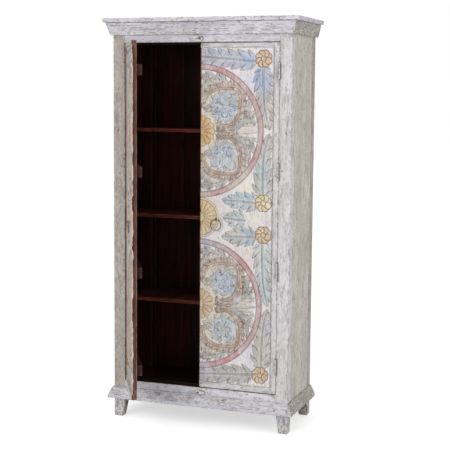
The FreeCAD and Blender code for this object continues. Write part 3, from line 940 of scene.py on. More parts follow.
# Pale chalky ground for flecks and dips, also used for the painted highlight round the carved forms
PALE_GROUND_AND_HIGHLIGHT = colour(246, 240, 230)
ROSE = colour(228, 212, 212)
PALE_LILAC = colour(226, 224, 240)
DEEP_ROSE = colour(172, 92, 98)
DEEP_PINK = colour(194, 92, 114)
RING_GROUND = colour(238, 228, 212)
SCROLL_GROUND = colour(208, 196, 176)

# Edges of the carved field, then centres and sizes of its forms: the main ones are those of the solids
FIELD_STILE = STILE_LOW.x / MM
FIELD_BOTTOM = PANEL_LOW.z / MM
FIELD_TOP = PANEL_HIGH.z / MM
UPPER_RING = (0.0, 1313.0)
LOWER_RING = (0.0, 552.0)
RING_RADIUS = 289.0
RING_BAND = 24.0
HALF_FLOWER = 68.0
MIDDLE_FLOWER = (0.0, 935.0)
MIDDLE_RADIUS = 88.0
RIM_BAND = 9.0
ROSETTE = 38.0
ROSETTE_PETALS = 8
NOTCH_RADIUS = 280.0
VOLUTE_START = 16.0
VOLUTE_END = 5.0
VOLUTE_KNOTS = 12
FLOWER_LEAVES = 11
FLOWER_CURLS = 8
FROND_LIFT = 0.72

# Gouge marks: how many, and the spans of their radius, start, sweep and strength
GOUGE_MARKS = 60
GOUGE_SPANS = ((4, 9), (0, 6), (1.5, 3.5), (0.5, 0.95))

# Ripples are a sum of waves with lengths round the wanted one, and a curve has steps from knot to knot
RIPPLE_WAVES = 9
RIPPLE_LENGTHS = (0.6, 1.7)
CURVE_STEPS = 10


def smooth(value, low, high):
    share = np.clip((value - low) / (high - low), 0, 1)
    return share * share * (3 - 2 * share)


def between(pair, share):
    """Colours that run from the first to the second of a pair as the share goes from 0 to 1."""
    first, second = (np.array(tint) for tint in pair)
    return first + (second - first) * np.clip(np.asarray(share), 0, 1)[..., None]


def ripples(x, z, size, seed):
    """A gentle unevenness of about a size, between -1 and 1."""
    waves = np.random.default_rng(seed)
    total = np.zeros(len(x))
    for _ in range(RIPPLE_WAVES):
        turn, start = waves.uniform(0, 2 * math.pi, 2)
        length = size * waves.uniform(*RIPPLE_LENGTHS)
        total += np.sin((x * math.cos(turn) + z * math.sin(turn)) * 2 * math.pi / length + start)
    return total / 5


def curve(knots):
    """Points along a smooth line through the knots."""
    knots = np.array(knots, float)
    ends = np.vstack([2 * knots[0] - knots[1], knots, 2 * knots[-1] - knots[-2]])
    share = np.linspace(0, 1, CURVE_STEPS, endpoint=False)[:, None]
    runs = []
    for n in range(len(knots) - 1):
        before, start, end, after = ends[n:n + 4]
        runs.append(0.5 * (2 * start + (end - before) * share
                           + (2 * before - 5 * start + 4 * end - after) * share ** 2
                           + (3 * start - 3 * end + after - before) * share ** 3))
    return np.vstack(runs + [knots[-1:]])


def turned_from(centre, radius, turn):
    """The point at a distance and an angle from a centre."""
    return centre[0] + radius * math.cos(turn), centre[1] + radius * math.sin(turn)


class Carving:
    """Height, paint and cut lines of the carved field at a set of points."""

    def __init__(self, x, z):
        self.x = x
        self.z = z
        self.height = GROUND_LEVEL + 0.035 * ripples(x, z, 22, 3) + 0.02 * ripples(x, z, 9, 4)
        ground = (colour(236, 228, 216), colour(224, 222, 234))
        self.paint = between(ground, 0.5 + 0.5 * ripples(x, z, 170, 6))
        self.cover = np.full(len(x), GROUND_COVER)
        self.groove = np.zeros(len(x))

    def near(self, spot, reach):
        return np.flatnonzero((abs(self.x - spot[0]) < reach) & (abs(self.z - spot[1]) < reach))

    def shifts(self, points, spot):
        return self.x[points] - spot[0], self.z[points] - spot[1]

    def offsets(self, points, spot):
        """Distance and direction of points from a spot."""
        dx, dz = self.shifts(points, spot)
        return np.hypot(dx, dz), np.arctan2(dz, dx)

    def tint(self, points, colours_there, share):
        """Draws the paint towards other colours by a share."""
        self.paint[points] += (np.asarray(colours_there) - self.paint[points]) * share[:, None]

    def form(self, points, inside, shoulder, lift, paint, strength, line):
        """Lays a rounded form on the field: inside is the distance in from its outline."""
        over = smooth(inside, -0.6, 0.6)
        dome = lift * (EDGE_LIFT + (1 - EDGE_LIFT) * np.sqrt(np.clip(inside / shoulder, 0, 1)))
        self.height[points] += (dome - self.height[points]) * over
        self.tint(points, paint, over)
        self.cover[points] += (strength - self.cover[points]) * over
        cut = line * np.exp(-(inside / LINE_WIDTH) ** 2)
        self.groove[points] = np.maximum(self.groove[points] * (1 - over), cut)
        # A pale rim on the ground just outside the cut line: painted highlight
        self.tint(points, PALE_GROUND_AND_HIGHLIGHT, 0.65 * line * np.exp(-((inside + HIGHLIGHT_RIM_AWAY) / HIGHLIGHT_RIM_WIDTH) ** 2))

    def line(self, points, away, width, strength):
        """Cuts a line where away, the distance from it, is small."""
        cut = strength * np.exp(-(away / width) ** 2)
        self.groove[points] = np.maximum(self.groove[points], cut)

    def leaf(self, base, turn, length, width, curl, lift, paint, strength, side, dark, full=0.8):
        """A leaf that grows from its base and curls to one side: the fuller, the rounder its tip."""
        points = self.near(base, length + width)
        dx, dz = self.shifts(points, base)
        along = dx * math.cos(turn) + dz * math.sin(turn)
        share = np.clip(along / length, 0, 1)
        across = dz * math.cos(turn) - dx * math.sin(turn) - curl * share ** 2
        half = width / 2 * np.clip(np.sin(math.pi * share ** full), 0, 1) ** 0.7
        inside = np.minimum(half - abs(across), np.minimum(along, length - along))
        line = dark * (0.30 + 0.70 * (across * side > 0) * smooth(share, 0.15, 0.5))
        self.form(points, inside, width * 0.42, lift, between(paint, share), strength, line)
        vein = abs(across) + 40 * (inside < 1.5) + 4 * smooth(share, 0.5, 0.9)
        self.line(points, vein, 0.9, 0.35 * dark)

    def follow(self, knots, reach):
        """Points near a curve: the way gone along it, the distance off it to its left, and its length."""
        path = curve(knots)
        middle = (path.max(axis=0) + path.min(axis=0)) / 2
        points = self.near(middle, abs(path - middle).max() + reach)
        nearest = np.full(len(points), OUT_OF_REACH)
        along = np.zeros(len(points))
        off = np.zeros(len(points))
        steps = np.hypot(*np.diff(path, axis=0).T)
        gone = np.concatenate([[0], np.cumsum(steps)])
        for n, step in enumerate(steps):
            way = (path[n + 1] - path[n]) / step
            dx, dz = self.shifts(points, path[n])
            low = 0 if n else -reach
            high = step if n < len(steps) - 1 else step + reach
            ahead = np.clip(dx * way[0] + dz * way[1], low, high)
            away = np.hypot(dx - ahead * way[0], dz - ahead * way[1])
            closer = away < nearest
            nearest = np.where(closer, away, nearest)
            along = np.where(closer, gone[n] + ahead, along)
            off = np.where(closer, np.copysign(away, way[0] * dz - way[1] * dx), off)
        return points, along, off, gone[-1]

    def vine(self, knots, start_width, end_width, lift, paint, strength, dark=0.6):
        """A plain rounded stem along a curve."""
        points, along, off, length = self.follow(knots, max(start_width, end_width))
        share = along / length
        half = (start_width + (end_width - start_width) * share) / 2
        inside = np.minimum(half - abs(off), np.minimum(along, length - along))
        self.form(points, inside, half.max(), lift, between(paint, share), strength, dark)

    def frond(self, knots, pitch, halves, paint, strength, lift, notch, lean=1.0, sides=(1, -1), rise=0.05,
              fall=0.3, dark=1.0, spine=0.0):
        """A long leaf with rounded teeth that point to its tip, and a curved cut behind each tooth."""
        points, along, off, length = self.follow(knots, 1.2 * max(halves))
        share = along / length
        away = abs(off)
        swell = np.clip(share / rise, 0, 1) ** 0.5 * np.clip((1 - share) / fall, 0, 1) ** 0.6
        half = (halves[0] + (halves[1] - halves[0]) * share) * swell + 0.1
        outward = np.clip(away / half, 0, 1)
        count = (along + lean * half * (1 - outward) ** 1.6) / pitch + 0.45 * (off > 0)
        tooth = count % 1
        toothed = np.isin(np.sign(off), sides)
        outline = half * np.where(toothed, notch + (1 - notch) * tooth ** 0.6, notch)
        inside = np.minimum(outline - away, np.minimum(along, length - along))
        level = lift * (1 - 0.45 * toothed * (1 - tooth) ** 2 * outward)
        hand = np.random.default_rng(int(length)).uniform(-1, 1, (2, TOOTH_TINTS))
        own = hand[:, (2 * np.floor(count) + (off > 0)).astype(int) % TOOTH_TINTS] * smooth(outward, 0.1, 0.6)
        uneven = ripples(self.x[points], self.z[points], 55, int(length))
        tint = between(paint, share + 0.45 * own[0] + 0.25 * uneven)
        tint += (np.array(LEAF_GREY[1]) - tint) * (0.75 * np.clip(own[1], 0, 1))[:, None]
        self.form(points, inside, 0.3 * max(halves), level, tint, strength, 0.4 * dark)
        to_cut = 0.75 * pitch * np.minimum(tooth, 1 - tooth) + OUT_OF_REACH * ((inside < 0) | ~toothed)
        self.line(points, to_cut, LINE_WIDTH, dark * smooth(outward, 0.15, 0.6))
        self.line(points, away + OUT_OF_REACH * (inside < 1), 1.1, spine)

    def spray(self, knots, pitch, halves, paint, strength, stem, **shape):
        """A frond with a raised stem down its middle."""
        self.frond(knots, pitch, halves, paint, strength, FROND_LIFT, **shape)
        self.vine(knots, 6.5, 3.0, FROND_LIFT * 1.06, stem, 0.7, dark=0.5)

    def stain(self, spot, reach, tint, strength):
        """A soft patch of another colour over what is painted already."""
        points = self.near(spot, reach)
        away, _ = self.offsets(points, spot)
        share = np.minimum(strength * smooth(away, reach, 0), 1)
        self.tint(points, tint, share)
        self.cover[points] += (1 - self.cover[points]) * share

    def hook(self, centre, radius, start, sweep, strength=0.9):
        """A curved gouge cut: part of a circle, with its start and sweep as angles."""
        points = self.near(centre, radius + 4)
        away, turn = self.offsets(points, centre)
        missed = (turn - start) % (2 * math.pi) > sweep
        self.line(points, abs(away - radius) + OUT_OF_REACH * missed, 1.4, strength)

    def fan(self, centre, turn, spread, count, length, width, paint, strength, lift, dark):
        """Leaves spread from one point, the outer ones laid first."""
        order = sorted(range(count), key=lambda n: -abs(n - (count - 1) / 2))
        for n in order:
            share = n / (count - 1) - 0.5
            size = length * (1 - 0.5 * abs(share))
            way = turn + math.radians(spread) * share
            side = 1 if share > 0 else -1
            self.leaf(centre, way, size, width, share * width, lift, paint, strength, side, dark)

    def volute(self, centre, way, paint):
        """A stem that curls in from the left, up or down."""
        turns = np.linspace(math.pi, 3.4 * math.pi, VOLUTE_KNOTS)
        radii = np.linspace(VOLUTE_START, VOLUTE_END, VOLUTE_KNOTS)
        knots = [turned_from(centre, radius, way * turn) for turn, radius in zip(turns, radii)]
        self.vine(knots, 9, 6, 0.9, paint, 0.8, 0.55)

    def notches(self, centre, way, turns):
        """Pale dips of bare ground between the acanthus and the ring, given by their angles."""
        for turn in turns:
            slope = math.radians(turn * way)
            base = turned_from(centre, NOTCH_RADIUS, slope)
            self.leaf(base, slope + math.pi + way * 0.7, 42, 22, 0, 0.05, (PALE_GROUND_AND_HIGHLIGHT, PALE_GROUND_AND_HIGHLIGHT), 0.75, way, 0.9)

    def hoop(self, centre, outer, band, paint, strength, seed, dark=0.6, patches=()):
        """A rounded ring whose paint comes and goes, with patches given by their angle, spread and colour."""
        points = self.near(centre, outer + band)
        away, turn = self.offsets(points, centre)
        inside = band / 2 - abs(away - outer + band / 2)
        fade = 0.5 + 0.5 * ripples(away * np.cos(turn), away * np.sin(turn), 150, seed)
        tint = between(paint, fade)
        for place, spread, patch in patches:
            share = 0.9 * smooth(abs(turn - math.radians(place)), math.radians(spread), 0)
            tint += (np.array(patch) - tint) * share[:, None]
        self.form(points, inside, band * 0.36, 1.0, tint, strength, dark)

    def sunflower(self, centre, radius, petals, paint, strength, lift=0.95):
        """Long petals round a low middle."""
        points = self.near(centre, radius + 4)
        away, turn = self.offsets(points, centre)
        pitch = 2 * math.pi / petals
        off = abs(turn / pitch - np.round(turn / pitch)) * pitch
        tip = radius * (1 - 0.35 * (off / pitch) ** 2)
        inside = np.minimum((pitch / 2 - off) * away, tip - away)
        shade = away / radius
        dome = lift * (0.72 + 0.28 * shade)
        self.form(points, inside, radius * 0.13, dome, between(paint, shade), strength, 0.55)
        self.line(points, off * away + 40 * (away > radius * 0.92), 0.8, 0.25)
        self.form(points, radius * 0.26 - away, radius * 0.2, lift * 0.8, paint[1], strength, 0.45)

    def rosette(self, centre, paint):
        """Round petals round a raised knob."""
        points = self.near(centre, ROSETTE + 4)
        petal = ROSETTE * 0.40
        for n in range(ROSETTE_PETALS):
            turn = 2 * math.pi * (n + 0.5) / ROSETTE_PETALS
            away, _ = self.offsets(points, turned_from(centre, ROSETTE - petal, turn))
            self.form(points, petal - away, petal * 0.8, 0.92, paint[n % 2], 0.95, 0.85)
        away, _ = self.offsets(points, centre)
        self.form(points, ROSETTE * 0.30 - away, ROSETTE * 0.26, 1.0, paint[1], 0.95, 0.8)

    def curled_flower(self, centre, radius, start, paint):
        """Broad wavy petals that turn round a small bud, over a ring of green leaves, with curled cuts."""
        hand = np.random.default_rng(int(centre[1]))
        for n in range(FLOWER_LEAVES):
            reach = radius * hand.uniform(1.1, 1.42)
            turn = start + 2 * math.pi * n / FLOWER_LEAVES
            self.leaf(centre, turn, reach, radius * hand.uniform(0.4, 0.6), 0, 0.42, LEAF_GREEN, 0.8, 1, 0.7)
        tints = (*paint, TEAL[0], LILAC[1])
        for ring, count, size, wide in ((0, 7, 1.04, 0.96), (1, 5, 0.68, 0.66)):
            for n in range(count):
                turn = start + 2 * math.pi * (n + 0.4 * ring + hand.uniform(-0.2, 0.2)) / count
                length = radius * size * hand.uniform(0.86, 1.12)
                pair = [tints[pick] for pick in hand.choice(4, 2, p=(0.45, 0.3, 0.15, 0.1))]
                self.leaf(centre, turn, length, radius * wide, radius * 0.34 * size, 0.66 + 0.16 * ring,
                          pair, 0.85, 1, hand.uniform(0.25, 0.8), full=1.5)
        for n in range(FLOWER_CURLS):
            turn = start + 2 * math.pi * n / FLOWER_CURLS + hand.uniform(-0.3, 0.3)
            spot = turned_from(centre, radius * hand.uniform(0.34, 0.82), turn)
            self.hook(spot, radius * hand.uniform(0.10, 0.22), hand.uniform(0, 6), hand.uniform(2, 4))
        points = self.near(centre, radius)
        away, _ = self.offsets(points, centre)
        self.form(points, radius * 0.15 - away, radius * 0.16, 0.9, between(paint, 0.3), 0.8, 0.45)


def arc(centre, radius, start, end):
    """Knots round a centre, with angles in degrees."""
    return [turned_from(centre, radius, turn) for turn in np.radians(np.linspace(start, end, 5))]


def gouge_marks(field, centre):
    """Short curled cuts and chalky flecks that the gouge left between the half flower and the ring."""
    hand = np.random.default_rng(int(centre[1]))
    for _ in range(GOUGE_MARKS):
        turn = math.radians(hand.uniform(-88, 88))
        spot = turned_from(centre, hand.uniform(HALF_FLOWER + 12, RING_RADIUS - RING_BAND - 10), turn)
        field.hook(spot, *(hand.uniform(*span) for span in GOUGE_SPANS))
        fleck = (spot[0] + hand.uniform(-14, 14), spot[1] + hand.uniform(-14, 14))
        field.stain(fleck, hand.uniform(6, 12), PALE_GROUND_AND_HIGHLIGHT, 0.9)


# Lines of the upper half of a medallion, from its centre: the lower half mirrors them
OUTER_LEAF = ((4, 128), (10, 176), (44, 208), (104, 216))
# From the half flower round the curled flower, and into a curl of its own
SCROLL = (
    (78, 36), (98, 21), (128, 18), (160, 37), (182, 76), (188, 118), (188, 156), (174, 182), (132, 189),
    (84, 187), (38, 166), (15, 130), (25, 98),
)
# A brown curl from the scroll up beside the palmette, and a grey leaf that curls back over the palmette
BROWN_CURL = ((128, 16), (160, 22), (190, 40), (206, 68), (202, 96))
GREY_CURL = ((156, 12), (184, 32), (214, 46), (240, 42), (252, 24))
PALMETTE_FOOT = (126, 0)
CURLED_FLOWER = (112, 106)
VOLUTE = (38, 100)
NOTCH_TURNS = (15, 26, 38, 50, 64, 79)


def medallion(field, centre, tilt, bloom, blues, gold, palmette, patches):
    """What fills half of a great ring: a half flower, two curled flowers in scrolls, and acanthus leaves."""

    def at(way, *spots):
        return [(centre[0] + x, centre[1] + way * z) for x, z in spots]

    field.stain(centre, RING_RADIUS, RING_GROUND, 3)
    field.fan(*at(1, PALMETTE_FOOT), 0, 58, 7, 136, 20, palmette, 0.8, 0.5, 0.55)
    for way, blue in zip((1, -1), blues):
        # Acanthus between the scroll and the ring
        field.frond(arc(centre, 234, 12 * way, 46 * way), 33, (44, 40), (LEAF_GREY[0], LILAC[1]), 0.95,
                    notch=0.66, lift=0.6, dark=0.7, spine=0.5)
        field.frond(arc(centre, 236, 46 * way, 90 * way), 27, (36, 36), (LILAC[0], LEAF_GREY[1]), 0.95,
                    notch=0.55, lift=0.6, spine=0.5)
        field.notches(centre, way, NOTCH_TURNS)
        field.frond(at(way, *OUTER_LEAF), 19, (26, 18), (LEAF_GREEN[0], SAND[0]), 0.8, notch=0.5, lift=0.5)
        flower = at(way, CURLED_FLOWER)[0]
        field.stain(flower, 120, SCROLL_GROUND, 2)
        field.curled_flower(flower, bloom, tilt * way, blue)
        field.frond(at(way, *SCROLL), 25, (29, 21), SCROLL_BROWN, 0.95, lift=0.86, notch=0.48, lean=0.5,
                    sides=(-way,), rise=0.04, fall=0.02, spine=0.7)
        field.volute(*at(way, VOLUTE), way, (SCROLL_BROWN[1], SAND[0]))
        field.frond(at(way, *BROWN_CURL), 17, (15, 13), (SCROLL_BROWN[1], SCROLL_BROWN[0]), 0.9, lift=0.8,
                    notch=0.5, sides=(-way,), spine=0.6)
        field.frond(at(way, *GREY_CURL), 24, (18, 14), (LEAF_GREY[0], LEAF_GREEN[0]), 0.85, lift=0.66,
                    notch=0.6, dark=0.7)
    field.vine(at(1, (72, 0), (110, 0), (148, 0)), 5, 10, 0.9, SCROLL_BROWN, 0.8)
    gouge_marks(field, centre)
    field.sunflower(centre, HALF_FLOWER, 14, gold, 0.95)
    field.hoop(centre, RING_RADIUS, RING_BAND, RING_PINK, 0.95, int(centre[1]), 0.6, patches)


# Leaf sprays along the four borders, each growing from a rosette: knots, pitch of the teeth, half widths and
# colours at both ends, strength of the paint, and colours of the stem
LEVEL_SPRAYS = (
    ([(256, 1612), (120, 1624), (-30, 1636)], 46, (48, 38), (SKY_BLUE[0], LILAC[1]), 0.8, STEM_GREEN),
    ([(252, 252), (120, 244), (-30, 233)], 49, (46, 40), (LEAF_GREEN[0], LILAC[1]), 0.9, LEAF_GREEN),
)
UPRIGHT_SPRAYS = (
    ([(286, 1598), (287, 1500), (297, 1400), (316, 1322)], 38, (56, 26), (SKY_BLUE[0], SAND[1]), 0.9,
     STEM_GREEN),
    ([(292, 1020), (288, 1110), (294, 1220), (316, 1306)], 47, (56, 24), (TEAL[1], LEAF_GREY[1]), 0.85, TEAL),
    ([(290, 850), (290, 750), (297, 650), (316, 562)], 42, (54, 24), (PALE_TEAL, TEAL[0]), 0.8, STEM_GREEN),
    ([(290, 272), (291, 370), (299, 470), (316, 546)], 45, (58, 24), (LEAF_GREEN[1], LEAF_GREY[1]), 0.8,
     LEAF_GREEN),
)
SPRIGS = (
    ([(272, 1008), (190, 1012), (104, 1016)], 36, (46, 40), (TEAL[1], BLUE[0]), 0.95, BLUE),
    ([(212, 930), (160, 933), (108, 938)], 31, (42, 40), (TEAL[1], BLUE[1]), 0.8, TEAL),
    ([(262, 860), (190, 859), (103, 855)], 36, (46, 42), (BLUE[0], LEAF_GREEN[1]), 0.9, STEM_GREEN),
)
SPRAY_SHAPES = (
    (LEVEL_SPRAYS, {"notch": 0.62, "rise": 0.12, "fall": 0.02}),
    (UPRIGHT_SPRAYS, {"notch": 0.6, "rise": 0.2, "fall": 0.12, "lean": 1.2}),
    (SPRIGS, {"notch": 0.55, "rise": 0.16, "fall": 0.42}),
)

# Soft patches of colour by spot, reach, colour and strength: under the forms, and over them
GROUND_STAINS = (
    ((230, 1060), 90, CREAM, 0.9), ((250, 935), 46, CREAM, 0.9), ((305, 937), 40, ROSE, 0.9),
    ((60, 1020), 90, ROSE, 0.9), ((230, 1530), 90, PALE_LILAC, 0.9), ((320, 1660), 60, PALE_LILAC, 0.9),
    ((210, 760), 90, ROSE, 0.9), ((210, 340), 110, PALE_LILAC, 0.9), ((310, 1400), 100, SAND[0], 0.9),
)
LATE_STAINS = (
    ((20, 1330), 44, GOLD[0], 0.5), ((50, 868), 40, ROSE, 0.5), ((30, 540), 40, SAND[1], 0.4),
    ((110, 1250), 50, LILAC[0], 0.4), ((140, 1440), 44, LEAF_GREEN[0], 0.5), ((90, 1400), 40, BLUE[0], 0.6),
    ((284, 1512), 62, SKY_BLUE[0], 0.65), ((220, 1614), 52, SKY_BLUE[0], 0.7),
    ((50, 1628), 70, LILAC[1], 0.6), ((292, 1150), 50, TEAL[0], 0.6), ((318, 474), 40, BLUE[0], 0.6),
    ((118, 446), 40, SAND[1], 0.5),
)
# Patches of other paint on the great rings, by angle, spread and colour
UPPER_PATCHES = (
    (70, 34, DEEP_ROSE), (0, 24, RING_PINK[1]), (-50, 26, SAND[1]), (-72, 14, DEEP_ROSE), (-88, 16, SAND[1]),
)
LOWER_PATCHES = (
    (84, 26, LILAC[1]), (40, 22, DEEP_ROSE), (-6, 26, RING_PINK[0]), (-62, 26, DEEP_PINK),
    (-88, 16, LILAC[0]),
)
ROSETTES = (
    ((287, 1623), ORANGE_GOLD),
    ((292, 1008), PALE_GOLD),
    ((293, 870), ORANGE_GOLD),
    ((285, 252), ORANGE_GOLD),
)


def carve(x, z):
    """The whole carved field of a door."""
    field = Carving(x, z)
    for stain in GROUND_STAINS:
        field.stain(*stain)
    for sprays, shape in SPRAY_SHAPES:
        for spray in sprays:
            field.spray(*spray, **shape)
    medallion(field, UPPER_RING, 0.2, 62, (BLUE, (TEAL[0], BLUE[1])), GOLD, (SAND[0], RING_GROUND),
              UPPER_PATCHES)
    medallion(field, LOWER_RING, 0.7, 55, ((BLUE[0], TEAL[1]), (TEAL[0], BLUE[1])), FADED_GOLD,
              (SAND[1], LEAF_GREEN[1]), LOWER_PATCHES)
    field.sunflower(MIDDLE_FLOWER, MIDDLE_RADIUS - RIM_BAND, 20, (GOLD[1], PALE_GOLD[0]), 0.9, lift=0.85)
    field.hoop(MIDDLE_FLOWER, MIDDLE_RADIUS, RIM_BAND, PALE_GOLD, 0.9, 5, dark=0.5)
    for spot, tints in ROSETTES:
        field.rosette(spot, tints)
    for stain in LATE_STAINS:
        field.stain(*stain)
    # Dark lines along the field's edges by the stile and the strips: partly dirt, partly painted shadow of
    # the raised frame
    field.line(slice(None), FIELD_STILE - x, SIDE_RIM_WIDTH, SIDE_RIM_CUT)
    field.line(slice(None), np.minimum(FIELD_TOP - z, z - FIELD_BOTTOM), END_RIM_WIDTH, END_RIM_CUT)
    return field


def carved_sheet(name, edge):
    """The carved face of a door, from its meeting edge to the stile: a fine grid, thinned out."""
    width = STILE_LOW.x - edge
    height = PANEL_HIGH.z - PANEL_LOW.z
    piece = new_piece(
        name, bpy.ops.mesh.primitive_grid_add, size=1, x_subdivisions=round(width / MM / GRID_STEP),
        y_subdivisions=round(height / MM / GRID_STEP))
    places = corner_array(piece).astype(float)
    x = edge + (places[:, 0] + 0.5) * width
    z = PANEL_LOW.z + (places[:, 1] + 0.5) * height
    field = carve(x / MM, z / MM)
    level = np.clip(field.height - LINE_CUT * field.groove, 0, 1)
    y = STILE_LOW.y + MM * (CARVING_SETBACK + CARVING_DEPTH * (1 - level))
    piece.data.vertices.foreach_set("co", np.stack([x, y, z], 1).astype(np.float32).ravel())
    piece.data.update()
    apply_modifier(piece, "DECIMATE", ratio=CARVED_TRIANGLES / (2 * len(piece.data.polygons)))
    return piece


def thicken(piece, depth):
    """Makes a block of a door's carved face, with a flat back at a depth behind the stile's front."""
    edit(piece, "DESELECT")
    bpy.ops.mesh.select_non_manifold(extend=False)
    bpy.ops.mesh.extrude_region_move(TRANSFORM_OT_translate={"value": (0, depth, 0)})
    bpy.ops.transform.resize(value=(1, 0, 1), center_override=(0, STILE_LOW.y + depth, 0))
    bpy.ops.mesh.edge_face_add()
    bpy.ops.mesh.select_all(action="SELECT")
    bpy.ops.mesh.normals_make_consistent(inside=False)
    close()


def carved_layer(name, edge, depth, finish, paint_shown):
    """The front layer of a door's panel: carved and painted, with a lip behind that is dark as painted shadow
    of the rebate step and pale where its edge is rubbed.
    """
    piece = carved_sheet(name, edge)
    thicken(piece, depth)
    places = corner_array(piece).astype(float)
    field = carve(places[:, 0] / MM, places[:, 2] / MM)
    note(piece, "paint", "FLOAT_COLOR", field.paint)
    note(piece, "cover", "FLOAT", field.cover * paint_shown)
    note(piece, "groove", "FLOAT", np.clip(field.groove, 0, 1))
    note(piece, "crest", "FLOAT", smooth(field.height, CREST_START, 1.0) * (1 - field.groove))
    ground = STILE_LOW.y + MM * (CARVING_SETBACK + CARVING_DEPTH)
    note_grain(piece, 2, np.maximum(places[:, 1] - ground, 0))
    finish_faces(piece, finish)
    piece.data.materials.append(SHADED_DOOR_LIP)
    for face in piece.data.polygons:
        if face.center.y > ground + MM:
            face.material_index = 1
    return piece


# Doors, drawn closed on the right side: each has a front layer and a back layer that lap the other door

# The wash of a door's plain strips, and the finish of its carving with how much of the paint shows: the left
# door's darker copies and fainter paint are painted shade, for its face turned away from the light
DOOR_FINISH = {"right": (DOOR_WASH, CARVED, 1.0), "left": (SHADED_DOOR_WASH, SHADED_CARVING, 0.55)}
DOOR_SLOTS = {"panel": "painted_carving", "ledges": "stained_wood"}

# Ledges and hinges of a door are further apart than this, and lower than that themselves
LEVEL_GAP = 0.1


def rebated_plan(front_edge, back_edge, front_depth):
    """The plan of a strip from the meeting edge to the stile, with a step between its two layers."""
    front = STILE_LOW.y
    back = STILE_HIGH.y
    step = front + front_depth
    stile = STILE_LOW.x
    return [
        (front_edge, front), (stile, front), (stile, back),
        (back_edge, back), (back_edge, step), (front_edge, step),
    ]


def levels(node):
    """Bottom and top of each separate piece of a node, from the lowest up."""
    heights = np.unique(np.round([corner.co.z for corner in frame["nodes"][node].data.vertices], 5))
    breaks = np.flatnonzero(np.diff(heights) > LEVEL_GAP)
    return list(zip(heights[np.r_[0, breaks + 1]], heights[np.r_[breaks, len(heights) - 1]]))


def door_pieces(side):
    """The pieces of one door by node, drawn closed on the right side."""
    outer = side == "left"
    front_edge = LEFT_EDGE if outer else RIGHT_EDGE
    back_edge = RIGHT_EDGE if outer else LEFT_EDGE
    front_depth = OUTER_LIP if outer else OUTER_LIP + LAP_GAP
    wash, *carved = DOOR_FINISH[side]
    name = "dressed_" + side + "_door_"

    stile = board(name + "stile", STILE_LOW, STILE_HIGH + GAP_PAINT, 2, STILE_ROUND, STILE_WEAR)
    pieces = {"stile": finish_faces(stile, wash, DOOR_EDGE, [BACKWARD, UP, DOWN, LEFTWARD])}
    plan = rebated_plan(front_edge, back_edge, front_depth)
    for strip, door_end in (("top_strip", UP), ("bottom_strip", DOWN)):
        low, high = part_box("right_door_" + strip)
        piece = work(standing(name + strip, plan, low.z, high.z), 0)
        pieces[strip] = finish_faces(piece, wash, DOOR_EDGE, [BACKWARD, LEFTWARD, door_end])
    backing_low = (back_edge, STILE_LOW.y + front_depth, PANEL_LOW.z)
    backing_high = (STILE_LOW.x, STILE_HIGH.y, PANEL_HIGH.z)
    backing = board(name + "backing", backing_low, backing_high, 2)
    finish_faces(backing, DOOR_EDGE, STAIN_AND_SHADE, [BACKWARD])
    pieces["panel"] = join([carved_layer(name + "panel", front_edge, front_depth, *carved), backing])
    low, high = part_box("right_door_ledges")
    ledges = [board(name + "ledges", (low.x, low.y, bottom), (high.x, high.y, top), 0)
              for bottom, top in levels("right_door_ledges")]
    pieces["ledges"] = finish_faces(join(ledges), LEDGE_STAIN)
    return pieces


def doors():
    for side in ("right", "left"):
        for part, piece in door_pieces(side).items():
            if side == "left":
                closed = piece
                piece = hung_open(mirrored(closed, closed.name + "_hung"))
                bpy.data.objects.remove(closed)
            slot = DOOR_SLOTS.get(part, "whitewashed_wood")
            settle(piece, side + "_door_" + part, body=side + "_door", slot=slot)


# Ironwork

def torus(name, centre, turned, radius, wire):
    return new_piece(
        name, bpy.ops.mesh.primitive_torus_add, location=centre, rotation=turned, major_radius=radius,
        minor_radius=wire / 2, major_segments=RING_SIDES, minor_segments=WIRE_SIDES)


def cylinder(name, centre, turned, width, length):
    return new_piece(
        name, bpy.ops.mesh.primitive_cylinder_add, location=centre, rotation=turned, radius=width / 2,
        depth=length, vertices=PIN_SIDES)


def ring_pulls():
    """A wire eye and the ring that hangs in it, on each door."""
    ring_low, ring_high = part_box("right_door_pull_ring")
    eye_low, eye_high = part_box("right_door_ring_eye")
    ring_radius = (ring_high.x - ring_low.x - RING_WIRE) / 2
    across = (math.pi / 2, 0, 0)
    ring = torus("dressed_ring", (ring_low + ring_high) / 2, across, ring_radius, RING_WIRE)
    eye_outer = (eye_high.z - eye_low.z) / 2
    middle = (eye_low + eye_high) / 2
    centre = Vector((middle.x, eye_low.y + eye_outer, middle.z))
    eye = torus("dressed_eye", centre, (0, math.pi / 2, 0), eye_outer - EYE_WIRE / 2, EYE_WIRE)
    shank_length = eye_high.y - centre.y - eye_outer + EYE_WIRE
    shank_middle = (middle.x, eye_high.y - shank_length / 2, middle.z)
    eye = join([eye, cylinder("shank", shank_middle, across, EYE_WIRE, shank_length)])
    for piece, part, body in ((ring, "pull_ring", "pull_ring"), (eye, "ring_eye", "door")):
        finish_faces(piece, RING_IRON)
        wear_down(piece, IRON_WEAR)
        twin = hung_open(mirrored(piece, piece.name + "_left"))
        settle(piece, "right_door_" + part, body="right_" + body, slot="aged_iron")
        settle(twin, "left_door_" + part, body="left_" + body, slot="aged_iron")


